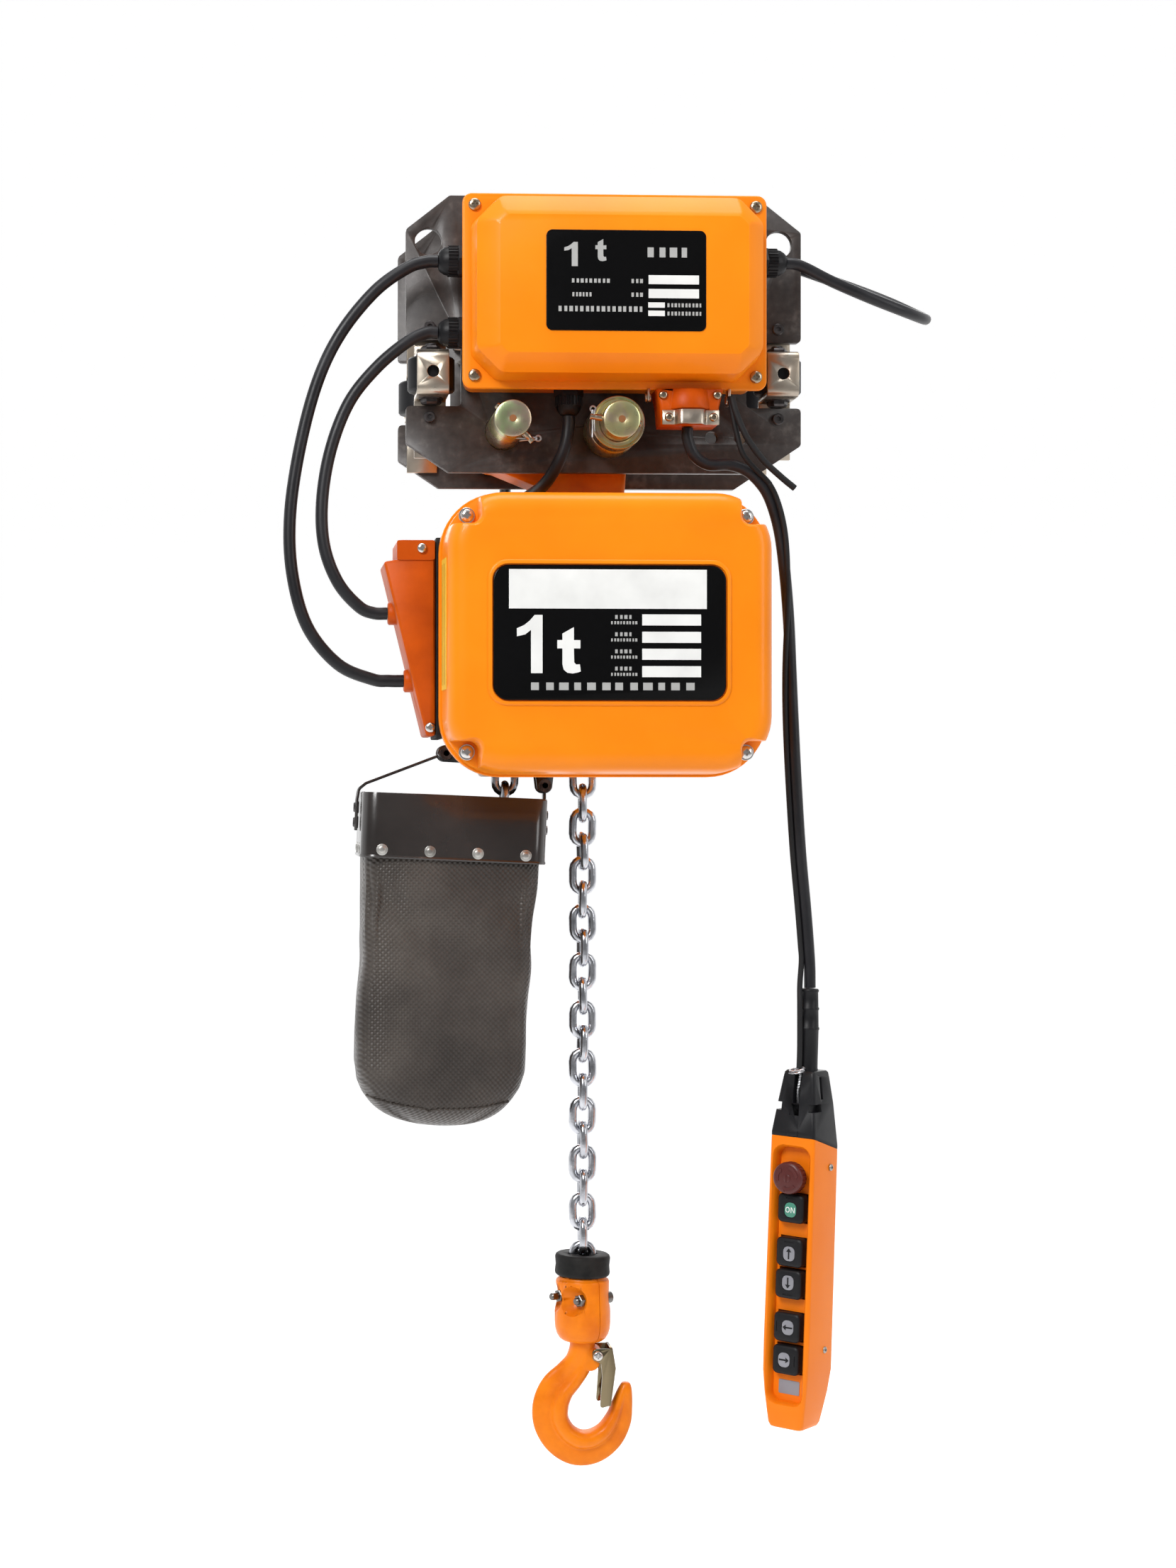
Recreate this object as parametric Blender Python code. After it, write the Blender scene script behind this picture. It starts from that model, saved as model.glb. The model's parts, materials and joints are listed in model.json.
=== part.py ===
"""Electric chain hoist hung under a motorised trolley that runs on an I-beam.

Frame: +X along the beam, +Y away from the operator's side, +Z up. The origin is on the beam's centre
line, at the level where the wheels run on the lower flange. Sizes are in millimetres and are turned into
metres when a mesh is made.
"""
import math

import bmesh
import bpy
from mathutils import Matrix, Vector

MM = 0.001
GAP = 0.3                      # between touching parts
RUNNING_GAP = 0.4              # round a turning or sliding part

# Beam that the trolley fits
FLANGE_HALF_WIDTH = 40.0

# Trolley plates
PLATE_INNER_Y = 50.0
PLATE_OUTER_Y = 58.0
PLATE_HALF_LENGTH = 169.0
PLATE_TOP = 142.0
PLATE_BOTTOM = -93.0
NOTCH_X = 122.0
NOTCH_TOP = 19.0
NOTCH_BOTTOM = -37.0
LIFT_HOLE = (150.0, 103.0, 11.5)

# Trolley wheels and their drive
WHEEL_X = 75.0
WHEEL_Z = 38.0
TREAD_RADIUS = 38.0
WHEEL_FLANGE_RADIUS = 46.0
WHEEL_WEB_SIDE_Y = 14.0
WHEEL_FLANGE_Y = (41.5, 48.5)
AXLE_RADIUS = 10.0
WHEEL_TEETH = 20
DRIVE_TEETH = 15
DRIVE_MODULE = WHEEL_X / (WHEEL_TEETH + DRIVE_TEETH) * 2.0
DRIVE_SHAFT_RADIUS = 12.0

# Guide rollers against the flange's edges
ROLLER_X = 148.0
ROLLER_Y = 61.0
ROLLER_RADIUS = 20.0
ROLLER_Z = (-26.6, 3.0)
BRACKET_WIDTH = 27.0
BRACKET_STEEL = 4.0
BRACKET_LEGS = (-27.0, 3.4)
BRACKET_FACE_Y = 86.0

# Suspension
SHAFT_X = (-86.0, 4.0)
SHAFT_Z = -58.4
SHAFT_RADIUS = 15.5
SHAFT_FRONT_Y = -133.0
SHAFT_REAR_Y = 90.0
COLLAR_RADIUS = 22.2

# Travel motor
TRAVEL_MOTOR_Z = 80.0
TRAVEL_MOTOR_RADIUS = 56.0

# Control box
BOX_X = (-121.0, 124.0)
BOX_Z = (-26.0, 127.5)
BOX_BACK_Y = -62.0
BOX_SPLIT_Y = -105.2
COVER_FLANGE_X = (-125.5, 128.8)
COVER_FLANGE_Z = (-30.5, 131.9)
COVER_FRONT_Y = -148.0
GLAND_Y = -85.0

# Hoist body and its centre lines
SHEAVE_X = -44.0
AXIS_Z = -235.0
GEAR_SHAFT_X = 36.0
PITCH_RADIUS = 33.4
LOAD_X = SHEAVE_X + PITCH_RADIUS
SLACK_X = SHEAVE_X - PITCH_RADIUS
COVER_X = (-146.0, 118.0)
COVER_Z = (-351.0, -124.0)
COVER_CORNER = 47.0
COVER_RIM_Y = -150.0
COVER_FACE_Y = -200.0
BODY_TOP = -124.6
BODY_BOTTOM = -351.0
MOTOR_Y = (75.3, 250.0)
MOTOR_RADIUS = 92.0
ROTOR_SHAFT_RADIUS = 10.0
HUB_RADIUS = 18.0
GEAR_MODULE = 4.0
PINION_TEETH = 8
GEAR_TEETH = 32
FIRST_GEAR_Y = (-140.0, -124.0)
SECOND_GEAR_Y = (-108.0, -88.0)

# Load chain
WIRE_RADIUS = 3.55
CHAIN_PITCH = 21.0
LINK_HALF_WIDTH = 8.45         # to the centre of the wire
LINK_COUNT = 27
CHAIN_TOP = -238.0
CHANNEL_HALF_WIDTH = 13.4

# Hook
STOPPER_Z = (-786.7, -768.0)
STOPPER_RADIUS = 24.0
BLOCK_Z = (-844.0, -787.0)
BLOCK_RADIUS = 24.3
BLOCK_SCREW_ANGLE = 31.0
LATCH_PIVOT = (1.2, -855.2)

# Chain bag
BAG_TILT = 2.5
BAG_TOP = Vector((-125.5, 0.0, -367.5))
RIM_HALF_LENGTH = 79.5
RIM_HALF_DEPTH = 52.0
RIM_HEIGHT = 56.0
BAG_DEPTH = 277.0

# Pendant
PENDANT_TOP = Vector((166.0, -105.0, -529.0))
PENDANT_TURN = -40.0
PENDANT_LEAN = 2.0
PENDANT_WIDTH = 40.0
PENDANT_DEPTH = 45.0
PENDANT_CAP = (-122.0, -68.0)
PENDANT_END = -365.0
BUTTON_SIZE = (24.0, 21.0)
BUTTON_CENTRES = {"on_button": -181.7, "up_button": -218.1, "down_button": -244.5,
                  "left_button": -280.3, "right_button": -307.4}
STOP_CENTRE = -155.9

# Cables
LEAD_DIAMETER = 10.5
TRAVEL_LEAD_DIAMETER = 10.5
SUPPLY_DIAMETER = 9.5
PENDANT_CABLE_DIAMETER = 12.5
SUPPLY_COIL = (122.0, 81.0, 72.0)
SUPPLY_COIL_RADIUS = 50.0

LEAD_LONG_ROUTE = [
    (-144.3, -85, 80), (-154, -85, 79.4), (-170, -85.5, 74), (-197, -87, 54), (-225.5, -88.5, 18.5), (-245, -90, -22),
    (-259.5, -92, -76), (-268, -94, -133), (-266.5, -96, -182), (-254, -97, -227), (-228.5, -98, -258.5),
    (-200, -98, -271), (-186, -98, -272.4), (-174.0, -98, -272.5)]
LEAD_SHORT_ROUTE = [
    (-144.5, -85, 20), (-154, -85.3, 19.6), (-171, -87.5, 11), (-196, -89, -10.5), (-219, -90, -40), (-234.5, -92, -80.5),
    (-241.5, -94, -124), (-239.5, -96, -161), (-228, -97, -191), (-211, -98, -210.5),
    (-199, -98, -216), (-187.4, -98, -216.5)]
TRAVEL_LEAD_ROUTE = [
    (-34, -85, -49.3), (-34.1, -85, -58), (-37, -84.5, -75), (-46, -80, -95), (-54, -68, -106),
    (-61, -40, -110), (-64, 0, -110.5), (-66, 50, -109), (-67, 92, -103), (-66, 118, -86),
    (-62, 131, -58), (-60, 134, -25), (-60, 134, 6)]
SUPPLY_ROUTE = [
    (150.3, -85, 81), (158, -85, 80.4), (168, -85, 76.8), (190, -84.5, 66), (222, -83, 53), (252, -75, 44),
    (274, -56, 41.5), (284, -30, 46), (281, 0, 57), (268, 26, 71), (248, 47, 85), (224, 63, 98),
    (198, 74, 110), (180, 79, 117), (166, 80.5, 120)]
PENDANT_ROUTE = [
    (63, -105, -61.5), (63.3, -105, -71), (69, -105, -84.5), (81, -105, -92), (98, -105, -92),
    (113, -105, -97), (125, -105, -108), (133, -105, -122), (140, -105, -146), (144.5, -105, -178),
    (148, -105, -220), (150, -105, -265), (152, -105, -310), (154.5, -105, -360), (158, -105, -415),
    (162.5, -105, -465), (165.5, -105, -505), (166, -105, -528.4)]


# ---------------------------------------------------------------- materials

def make_material(name, colour, roughness, metallic=0.0):
    material = bpy.data.materials.new(name)
    material.use_nodes = True
    shader = material.node_tree.nodes["Principled BSDF"]
    shader.inputs["Base Color"].default_value = (*colour, 1.0)
    shader.inputs["Roughness"].default_value = roughness
    shader.inputs["Metallic"].default_value = metallic
    return material


def make_materials():
    table = {
        "orange": ((0.85, 0.24, 0.01), 0.35, 0.0),
        "plate": ((0.07, 0.06, 0.055), 0.4, 0.3),
        "zinc": ((0.62, 0.55, 0.33), 0.35, 0.9),
        "steel": ((0.5, 0.5, 0.5), 0.3, 1.0),
        "chain": ((0.7, 0.7, 0.72), 0.22, 1.0),
        "black": ((0.012, 0.012, 0.014), 0.45, 0.0),
        "rubber": ((0.015, 0.015, 0.015), 0.6, 0.0),
        "fabric": ((0.10, 0.09, 0.08), 0.5, 0.0),
        "rim": ((0.06, 0.055, 0.05), 0.3, 0.2),
        "red": ((0.15, 0.01, 0.01), 0.4, 0.0),
    }
    return {name: make_material(name, *values) for name, values in table.items()}


# ---------------------------------------------------------------- building blocks

def clear_scene():
    for item in list(bpy.data.objects):
        bpy.data.objects.remove(item, do_unlink=True)


def solid(bm):
    """Turn a bmesh in millimetres into an object."""
    bmesh.ops.recalc_face_normals(bm, faces=bm.faces)
    mesh = bpy.data.meshes.new("solid")
    bm.to_mesh(mesh)
    bm.free()
    item = bpy.data.objects.new("solid", mesh)
    bpy.context.scene.collection.objects.link(item)
    return item


def combine(base, tools, operation):
    """Union or cut with exact Booleans, applied at once so that only the result stays."""
    for tool in tools:
        modifier = base.modifiers.new("combine", "BOOLEAN")
        modifier.operation = operation
        modifier.solver = "EXACT"
        modifier.object = tool
    evaluated = base.evaluated_get(bpy.context.evaluated_depsgraph_get())
    mesh = bpy.data.meshes.new_from_object(evaluated)
    base.modifiers.clear()
    base.data = mesh
    for tool in tools:
        bpy.data.objects.remove(tool, do_unlink=True)
    return base


def union(base, *tools):
    return combine(base, tools, "UNION")


def cut(base, *tools):
    return combine(base, tools, "DIFFERENCE")


def placed(point, axis):
    """Lay a point (u, v, along) out in space for an extrusion along the named axis."""
    u, v, along = point
    return {"X": (along, u, v), "Y": (u, along, v), "Z": (u, v, along)}[axis]


def prism(outline, axis, start, end):
    """Extrude an outline along an axis: (y, z) along X, (x, z) along Y, (x, y) along Z."""
    return loft([(along, outline) for along in (start, end)], axis)


def loft(sections, axis):
    """Join outlines with the same number of points, each at its place along the axis."""
    bm = bmesh.new()
    rings = []
    for along, outline in sections:
        rings.append([bm.verts.new(placed((u, v, along), axis)) for u, v in outline])
    for lower, upper in zip(rings, rings[1:]):
        bridge(bm, lower, upper)
    bm.faces.new(rings[0])
    bm.faces.new(rings[-1])
    return solid(bm)


def bridge(bm, lower, upper):
    count = len(lower)
    for index in range(count):
        following = (index + 1) % count
        bm.faces.new((lower[index], lower[following], upper[following], upper[index]))


def block(x, y, z):
    return prism([(x[0], z[0]), (x[1], z[0]), (x[1], z[1]), (x[0], z[1])], "Y", y[0], y[1])


def circle(centre, radius, segments, turn=0.0):
    step = 2.0 * math.pi / segments
    return [(centre[0] + radius * math.cos(turn + index * step),
             centre[1] + radius * math.sin(turn + index * step)) for index in range(segments)]


def cylinder(axis, centre, radius, start, end, segments=24):
    return prism(circle(centre, radius, segments), axis, start, end)


def turned(axis, centre, profile, segments=24, turn=0.0):
    """Revolve a profile of (radius, place along the axis)."""
    return loft([(along, circle(centre, radius, segments, turn)) for radius, along in profile], axis)


def ring(axis, centre, inner, outer, start, end, segments=24):
    return cut(cylinder(axis, centre, outer, start, end, segments),
               cylinder(axis, centre, inner, start - 1.0, end + 1.0, segments))


def rounded_rectangle(x, z, corner, steps=4):
    """Outline with quarter-circle corners, counter-clockwise from the lower right."""
    outline = []
    centres = [(x[1] - corner, z[0] + corner, -90.0), (x[1] - corner, z[1] - corner, 0.0),
               (x[0] + corner, z[1] - corner, 90.0), (x[0] + corner, z[0] + corner, 180.0)]
    for centre_x, centre_z, first in centres:
        for step in range(steps + 1):
            angle = math.radians(first + 90.0 * step / steps)
            outline.append((centre_x + corner * math.cos(angle), centre_z + corner * math.sin(angle)))
    return outline


def cut_corner_rectangle(x, z, corner):
    return [(x[1] - corner, z[0]), (x[1], z[0] + corner), (x[1], z[1] - corner), (x[1] - corner, z[1]),
            (x[0] + corner, z[1]), (x[0], z[1] - corner), (x[0], z[0] + corner), (x[0] + corner, z[0])]


def hull_of_circles(first, second, segments=24):
    """Outline round two circles (x, z, radius) of any size, as their convex hull."""
    points = sorted(circle(first[:2], first[2], segments) + circle(second[:2], second[2], segments))
    outline = []
    for sequence in (points, points[::-1]):
        chain = []
        for point in sequence:
            while len(chain) > 1 and turn_of(chain[-2], chain[-1], point) <= 1e-9:
                chain.pop()
            chain.append(point)
        outline += chain[:-1]
    return outline


def turn_of(first, second, third):
    return ((second[0] - first[0]) * (third[1] - first[1])
            - (second[1] - first[1]) * (third[0] - first[0]))


def gear_outline(centre, teeth, module, turn=0.0):
    """Straight-flanked teeth with generous backlash; a tooth is centred at the turn angle."""
    pitch_radius = 0.5 * teeth * module
    pitch_angle = 2.0 * math.pi / teeth
    root, tip = pitch_radius - 1.05 * module, pitch_radius + 0.72 * module
    outline = []
    for tooth in range(teeth):
        middle = turn + tooth * pitch_angle
        for radius, offset in ((root, -0.29), (tip, -0.10), (tip, 0.10), (root, 0.29)):
            angle = middle + offset * pitch_angle
            outline.append((centre[0] + radius * math.cos(angle), centre[1] + radius * math.sin(angle)))
    return outline


def swept(stations, sides):
    """Skin ellipses along a bent bar in the XZ plane: stations of (x, z, width, depth)."""
    bm = bmesh.new()
    rings = []
    for index, (x, z, width, depth) in enumerate(stations):
        before = stations[max(index - 1, 0)]
        after = stations[min(index + 1, len(stations) - 1)]
        direction = Vector((after[0] - before[0], 0.0, after[1] - before[1])).normalized()
        across = Vector((direction.z, 0.0, -direction.x))
        ring_verts = []
        for side in range(sides):
            angle = 2.0 * math.pi * side / sides
            offset = across * (0.5 * width * math.cos(angle))
            offset += Vector((0.0, 0.5 * depth * math.sin(angle), 0.0))
            ring_verts.append(bm.verts.new(Vector((x, 0.0, z)) + offset))
        rings.append(ring_verts)
    for lower, upper in zip(rings, rings[1:]):
        bridge(bm, lower, upper)
    bm.faces.new(rings[0])
    bm.faces.new(rings[-1])
    return solid(bm)


def smooth_path(points, spacing):
    """Points at even spacing along a Catmull-Rom curve through the given points."""
    padded = [2 * points[0] - points[1], *points, 2 * points[-1] - points[-2]]
    dense = []
    for index in range(1, len(padded) - 2):
        a, b, c, d = padded[index - 1:index + 3]
        for step in range(16):
            t = step / 16.0
            dense.append(0.5 * (2 * b + (c - a) * t + (2 * a - 5 * b + 4 * c - d) * t * t
                                + (3 * b - a - 3 * c + d) * t ** 3))
    dense.append(points[-1])
    lengths = [0.0]
    for first, second in zip(dense, dense[1:]):
        lengths.append(lengths[-1] + (second - first).length)
    count = max(3, round(lengths[-1] / spacing))
    path, index = [], 0
    for step in range(count + 1):
        target = lengths[-1] * step / count
        while index < len(dense) - 2 and lengths[index + 1] < target:
            index += 1
        share = (target - lengths[index]) / (lengths[index + 1] - lengths[index])
        path.append(dense[index].lerp(dense[index + 1], share))
    return path


def finish_part(item, name, material, smooth=True):
    """Scale to metres, name, give the material and shade round faces smooth."""
    item.data.transform(Matrix.Scale(MM, 4))
    item.name = name
    item.data.name = name
    item.data.materials.clear()
    item.data.materials.append(material)
    if smooth:
        item.data.shade_smooth()
        item.data.set_sharp_from_angle(angle=math.radians(35.0))
    return item


def set_origin(item, point):
    """Put the object's origin on its joint without moving its mesh in space."""
    offset = Vector(point) * MM
    item.data.transform(Matrix.Translation(-offset))
    item.location = offset


# ---------------------------------------------------------------- trolley

def plate_outline():
    right = [(133.0, PLATE_BOTTOM), (PLATE_HALF_LENGTH, -69.0), (PLATE_HALF_LENGTH, NOTCH_BOTTOM),
             (NOTCH_X + 4.0, NOTCH_BOTTOM), (NOTCH_X, NOTCH_BOTTOM + 4.0), (NOTCH_X, NOTCH_TOP - 4.0),
             (NOTCH_X + 4.0, NOTCH_TOP), (PLATE_HALF_LENGTH, NOTCH_TOP), (PLATE_HALF_LENGTH, 113.0),
             (132.0, PLATE_TOP)]
    return right + [(-x, z) for x, z in reversed(right)]


def make_side_plate(name, side, material):
    """Plate with its wheel axles riveted in; side is -1 in front and 1 behind."""
    plate = prism(plate_outline(), "Y", side * PLATE_INNER_Y, side * PLATE_OUTER_Y)
    axle_y = side * (WHEEL_WEB_SIDE_Y - 1.0), side * (PLATE_INNER_Y + 4.0)
    head_y = side * (PLATE_OUTER_Y - 1.0), side * (PLATE_OUTER_Y + 3.5)
    for x in (-WHEEL_X, WHEEL_X):
        union(plate, cylinder("Y", (x, WHEEL_Z), AXLE_RADIUS, *axle_y, 16),
              cylinder("Y", (x, WHEEL_Z), AXLE_RADIUS + 4.0, *head_y, 12))
    through = -100.0, 100.0
    tools = [cylinder("Y", (x, SHAFT_Z), SHAFT_RADIUS + RUNNING_GAP, *through, 24) for x in SHAFT_X]
    tools += [cylinder("Y", (x, LIFT_HOLE[1]), LIFT_HOLE[2], *through, 16)
              for x in (-LIFT_HOLE[0], LIFT_HOLE[0])]
    if side > 0:
        tools.append(cylinder("Y", (0.0, WHEEL_Z), DRIVE_SHAFT_RADIUS + RUNNING_GAP, *through, 20))
    else:
        tools += [cylinder("Y", (x, -62.5), 5.5, *through, 12) for x in (92.0, 117.0)]
    finish_part(cut(plate, *tools), name, material)


def make_wheel(name, x, side, geared, material):
    y_web, y_tread_end = side * WHEEL_WEB_SIDE_Y, side * (WHEEL_FLANGE_Y[0] + 0.5)
    flange_y = [side * y for y in WHEEL_FLANGE_Y]
    centre = (x, WHEEL_Z)
    wheel = turned("Y", centre, [(TREAD_RADIUS - 2.0, y_web), (TREAD_RADIUS, y_web + 2.0 * side),
                                 (TREAD_RADIUS, y_tread_end)], 24)
    if geared:
        turn = 0.0 if x > 0 else math.pi / WHEEL_TEETH
        flange = prism(gear_outline(centre, WHEEL_TEETH, DRIVE_MODULE, turn), "Y", *flange_y)
    else:
        flange = cylinder("Y", centre, WHEEL_FLANGE_RADIUS, *flange_y, 24)
    union(wheel, flange)
    cut(wheel, cylinder("Y", centre, AXLE_RADIUS + RUNNING_GAP, -60.0, 60.0, 16))
    finish_part(wheel, name, material)
    set_origin(wheel, (x, side * 30.0, WHEEL_Z))


def make_drive_pinion(material):
    """Pinion between the two rear wheels, with a gap between teeth facing each of them."""
    centre = (0.0, WHEEL_Z)
    half_tooth = math.pi / DRIVE_TEETH
    pinion = prism(gear_outline(centre, DRIVE_TEETH, DRIVE_MODULE, half_tooth), "Y", *WHEEL_FLANGE_Y)
    union(pinion, cylinder("Y", centre, DRIVE_SHAFT_RADIUS, WHEEL_FLANGE_Y[1] - 1.0, 85.0, 20))
    finish_part(pinion, "drive_pinion", material)
    set_origin(pinion, (0.0, 45.0, WHEEL_Z))


def make_guide_bracket(name, x, side, material):
    """Bent strap round the roller, with the roller's bolt through both of its legs."""
    low, high = BRACKET_LEGS
    face, steel = BRACKET_FACE_Y, BRACKET_STEEL
    foot_y = PLATE_INNER_Y - GAP
    outline = [(foot_y, 46.0), (foot_y, high + steel), (face, high + steel), (face, low - steel),
               (foot_y, low - steel), (foot_y, -80.0), (foot_y - steel, -80.0), (foot_y - steel, low),
               (face - steel, low), (face - steel, high), (foot_y - steel, high), (foot_y - steel, 46.0)]
    outline = [(side * y, z) for y, z in outline]
    half = 0.5 * BRACKET_WIDTH
    strap = prism(outline, "X", x - half, x + half)
    centre = (x, side * ROLLER_Y)
    hole = cylinder("Y", (x, -12.0), 5.0, side * (face - steel - 1.0), side * (face + 1.0), 12)
    cut(strap, hole)
    union(strap, cylinder("Z", centre, 6.0, low - 1.0, high + 1.0, 12),
          cylinder("Z", centre, 9.0, high + steel - 1.0, high + steel + 5.5, 6),
          cylinder("Z", centre, 9.0, low - steel - 5.5, low - steel + 1.0, 6))
    finish_part(strap, name, material)


def make_guide_roller(name, x, side, material):
    centre = (x, side * ROLLER_Y)
    low, high = ROLLER_Z
    profile = [(ROLLER_RADIUS - 1.5, low), (ROLLER_RADIUS, low + 1.5), (ROLLER_RADIUS, high - 1.5),
               (ROLLER_RADIUS - 1.5, high)]
    roller = turned("Z", centre, profile, 18)
    cut(roller, cylinder("Z", centre, 6.0 + RUNNING_GAP, low - 2.0, high + 2.0, 12))
    finish_part(roller, name, material)
    set_origin(roller, (*centre, 0.5 * (low + high)))


def make_shaft(name, x, pin_angle, material):
    """Suspension shaft with a retaining pin through its front end and another behind."""
    profile = [(SHAFT_RADIUS - 1.5, SHAFT_FRONT_Y), (SHAFT_RADIUS, SHAFT_FRONT_Y + 1.5),
               (SHAFT_RADIUS, SHAFT_REAR_Y - 1.5), (SHAFT_RADIUS - 1.5, SHAFT_REAR_Y)]
    shaft = turned("Y", (x, SHAFT_Z), profile, 24)
    for y in (SHAFT_FRONT_Y + 14.0, SHAFT_REAR_Y - 12.0):
        pin = cylinder("X", (0.0, 0.0), 2.5, -SHAFT_RADIUS - 6.0, SHAFT_RADIUS + 6.0, 8)
        pin.data.transform(Matrix.Translation((x, y, SHAFT_Z)) @ Matrix.Rotation(pin_angle, 4, "Y"))
        union(shaft, pin)
    cut(shaft, turned("Y", (x, SHAFT_Z), [(2.6, SHAFT_FRONT_Y - 1.0), (2.6, SHAFT_FRONT_Y + 2.0),
                                          (0.5, SHAFT_FRONT_Y + 5.0)], 10))
    finish_part(shaft, name, material)


def make_travel_motor(material):
    """Gearcase on the rear plate, motor and fan cowl behind it, and its cable entry."""
    start = PLATE_OUTER_Y + GAP
    gearcase = prism(hull_of_circles((0.0, WHEEL_Z, 40.0), (0.0, TRAVEL_MOTOR_Z, 60.0)), "Y", start, 106.0)
    motor = turned("Y", (0.0, TRAVEL_MOTOR_Z), [(TRAVEL_MOTOR_RADIUS, 105.0), (TRAVEL_MOTOR_RADIUS, 224.0),
                                                 (TRAVEL_MOTOR_RADIUS + 3.0, 224.5),
                                                 (TRAVEL_MOTOR_RADIUS + 3.0, 250.0),
                                                 (TRAVEL_MOTOR_RADIUS - 6.0, 258.0)], 24)
    entry_box = block((-72.0, -40.0), (112.0, 158.0), (28.0, 96.0))
    entry = cylinder("Z", (-60.0, 134.0), 11.0, 6.5, 30.0, 6)
    union(gearcase, motor, entry_box, entry)
    cut(gearcase, cylinder("Y", (0.0, WHEEL_Z), DRIVE_SHAFT_RADIUS + RUNNING_GAP, start - 1.0, 87.0, 20))
    finish_part(gearcase, "travel_motor", material)


def make_trolley(materials):
    for side, place in ((-1, "front"), (1, "rear")):
        make_side_plate(f"side_plate_{place}", side, materials["plate"])
        for x_sign, end in ((-1, "left"), (1, "right")):
            label = f"{place}_{end}"
            make_wheel(f"wheel_{label}", x_sign * WHEEL_X, side, side > 0, materials["steel"])
            make_guide_bracket(f"guide_bracket_{label}", x_sign * ROLLER_X, side, materials["zinc"])
            make_guide_roller(f"guide_roller_{label}", x_sign * ROLLER_X, side, materials["black"])
    make_drive_pinion(materials["steel"])
    make_shaft("suspension_shaft_left", SHAFT_X[0], math.radians(45.0), materials["zinc"])
    make_shaft("suspension_shaft_right", SHAFT_X[1], math.radians(8.0), materials["zinc"])
    collar = ring("Y", (SHAFT_X[1], SHAFT_Z), SHAFT_RADIUS + RUNNING_GAP, COLLAR_RADIUS,
                  SHAFT_FRONT_Y + 20.0, -PLATE_OUTER_Y - GAP)
    finish_part(collar, "shaft_collar", materials["zinc"])
    make_travel_motor(materials["plate"])


# ---------------------------------------------------------------- control box

def make_control_box(material):
    wall = 3.5
    tray = prism(rounded_rectangle(BOX_X, BOX_Z, 8.0, 3), "Y", BOX_SPLIT_Y, BOX_BACK_Y)
    feet = [cylinder("Y", (x, z), 9.0, BOX_BACK_Y - 1.0, -PLATE_OUTER_Y - GAP, 12)
            for x in (-100.0, 103.0) for z in (0.0, 118.0)]
    union(tray, *feet)
    inner_x, inner_z = (BOX_X[0] + wall, BOX_X[1] - wall), (BOX_Z[0] + wall, BOX_Z[1] - wall)
    cut(tray, prism(rounded_rectangle(inner_x, inner_z, 5.0, 2), "Y", BOX_SPLIT_Y - 1.0, BOX_BACK_Y - wall))
    finish_part(tray, "control_box", material)


def cover_sections(inset, back_y, front_y):
    """The raised part of the control box cover: upright sides, then a slope to the flat front."""
    def outline(left, right, low, high, corner):
        return cut_corner_rectangle((left + inset, right - inset), (low + inset, high - inset), corner)
    shoulder_y = front_y + 11.0
    return [(back_y, outline(-119.0, 122.5, -24.0, 125.5, 20.0)),
            (shoulder_y, outline(-116.0, 120.0, -21.5, 123.0, 20.0)),
            (front_y + 2.0, outline(-102.0, 109.0, -10.0, 109.5, 12.0)),
            (front_y, outline(-98.0, 106.0, -7.0, 105.5, 11.0))]


def make_control_box_cover(material):
    back_y = BOX_SPLIT_Y - GAP
    flange = prism(rounded_rectangle(COVER_FLANGE_X, COVER_FLANGE_Z, 7.0, 3), "Y", back_y, back_y - 4.0)
    union(flange, loft(cover_sections(0.0, back_y - 1.0, COVER_FRONT_Y), "Y"))
    cut(flange, loft(cover_sections(3.0, back_y + 1.0, COVER_FRONT_Y + 3.0), "Y"))
    finish_part(flange, "control_box_cover", material)


def make_gland(name, axis, centre, start, direction, radius, material):
    """Hexagonal cable gland with a domed nut; start is the box wall it stands on."""
    base = start + GAP * direction
    gland = cylinder(axis, centre, radius, base, base + 15.0 * direction, 6)
    union(gland, turned(axis, centre, [(0.72 * radius, base + 14.0 * direction),
                                       (0.68 * radius, base + 20.0 * direction),
                                       (0.55 * radius, base + 22.5 * direction)], 16))
    finish_part(gland, name, material)


def make_pendant_socket(material):
    sections = [(-30.9, [(35.0, -118.0), (91.0, -118.0), (91.0, -87.0), (35.0, -87.0)]),
                (-46.0, [(38.0, -118.0), (87.5, -118.0), (87.5, -87.0), (38.0, -87.0)]),
                (-60.5, [(39.0, -117.0), (86.5, -117.0), (86.5, -88.0), (39.0, -88.0)])]
    socket = loft(sections, "Z")
    union(socket, turned("Z", (63.0, -106.0), [(21.0, -61.0), (21.0, -50.0), (18.0, -31.4)], 20),
          block((40.0, 86.0), (-103.5, -88.5), (-32.0, BOX_Z[0] - GAP)))
    finish_part(socket, "pendant_socket", material)


def make_control(materials):
    make_control_box(materials["orange"])
    make_control_box_cover(materials["orange"])
    glands = [("gland_left_upper", "X", (GLAND_Y, 80.0), BOX_X[0], -1, 14.0),
              ("gland_left_lower", "X", (GLAND_Y, 20.0), BOX_X[0], -1, 14.0),
              ("gland_right", "X", (GLAND_Y, 81.0), BOX_X[1] + 3.0, 1, 13.0),
              ("gland_bottom", "Z", (-34.0, GLAND_Y), BOX_Z[0], -1, 12.5)]
    for name, axis, centre, start, direction, radius in glands:
        make_gland(name, axis, centre, start, direction, radius, materials["black"])
    make_pendant_socket(materials["orange"])


# ---------------------------------------------------------------- hoist

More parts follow.
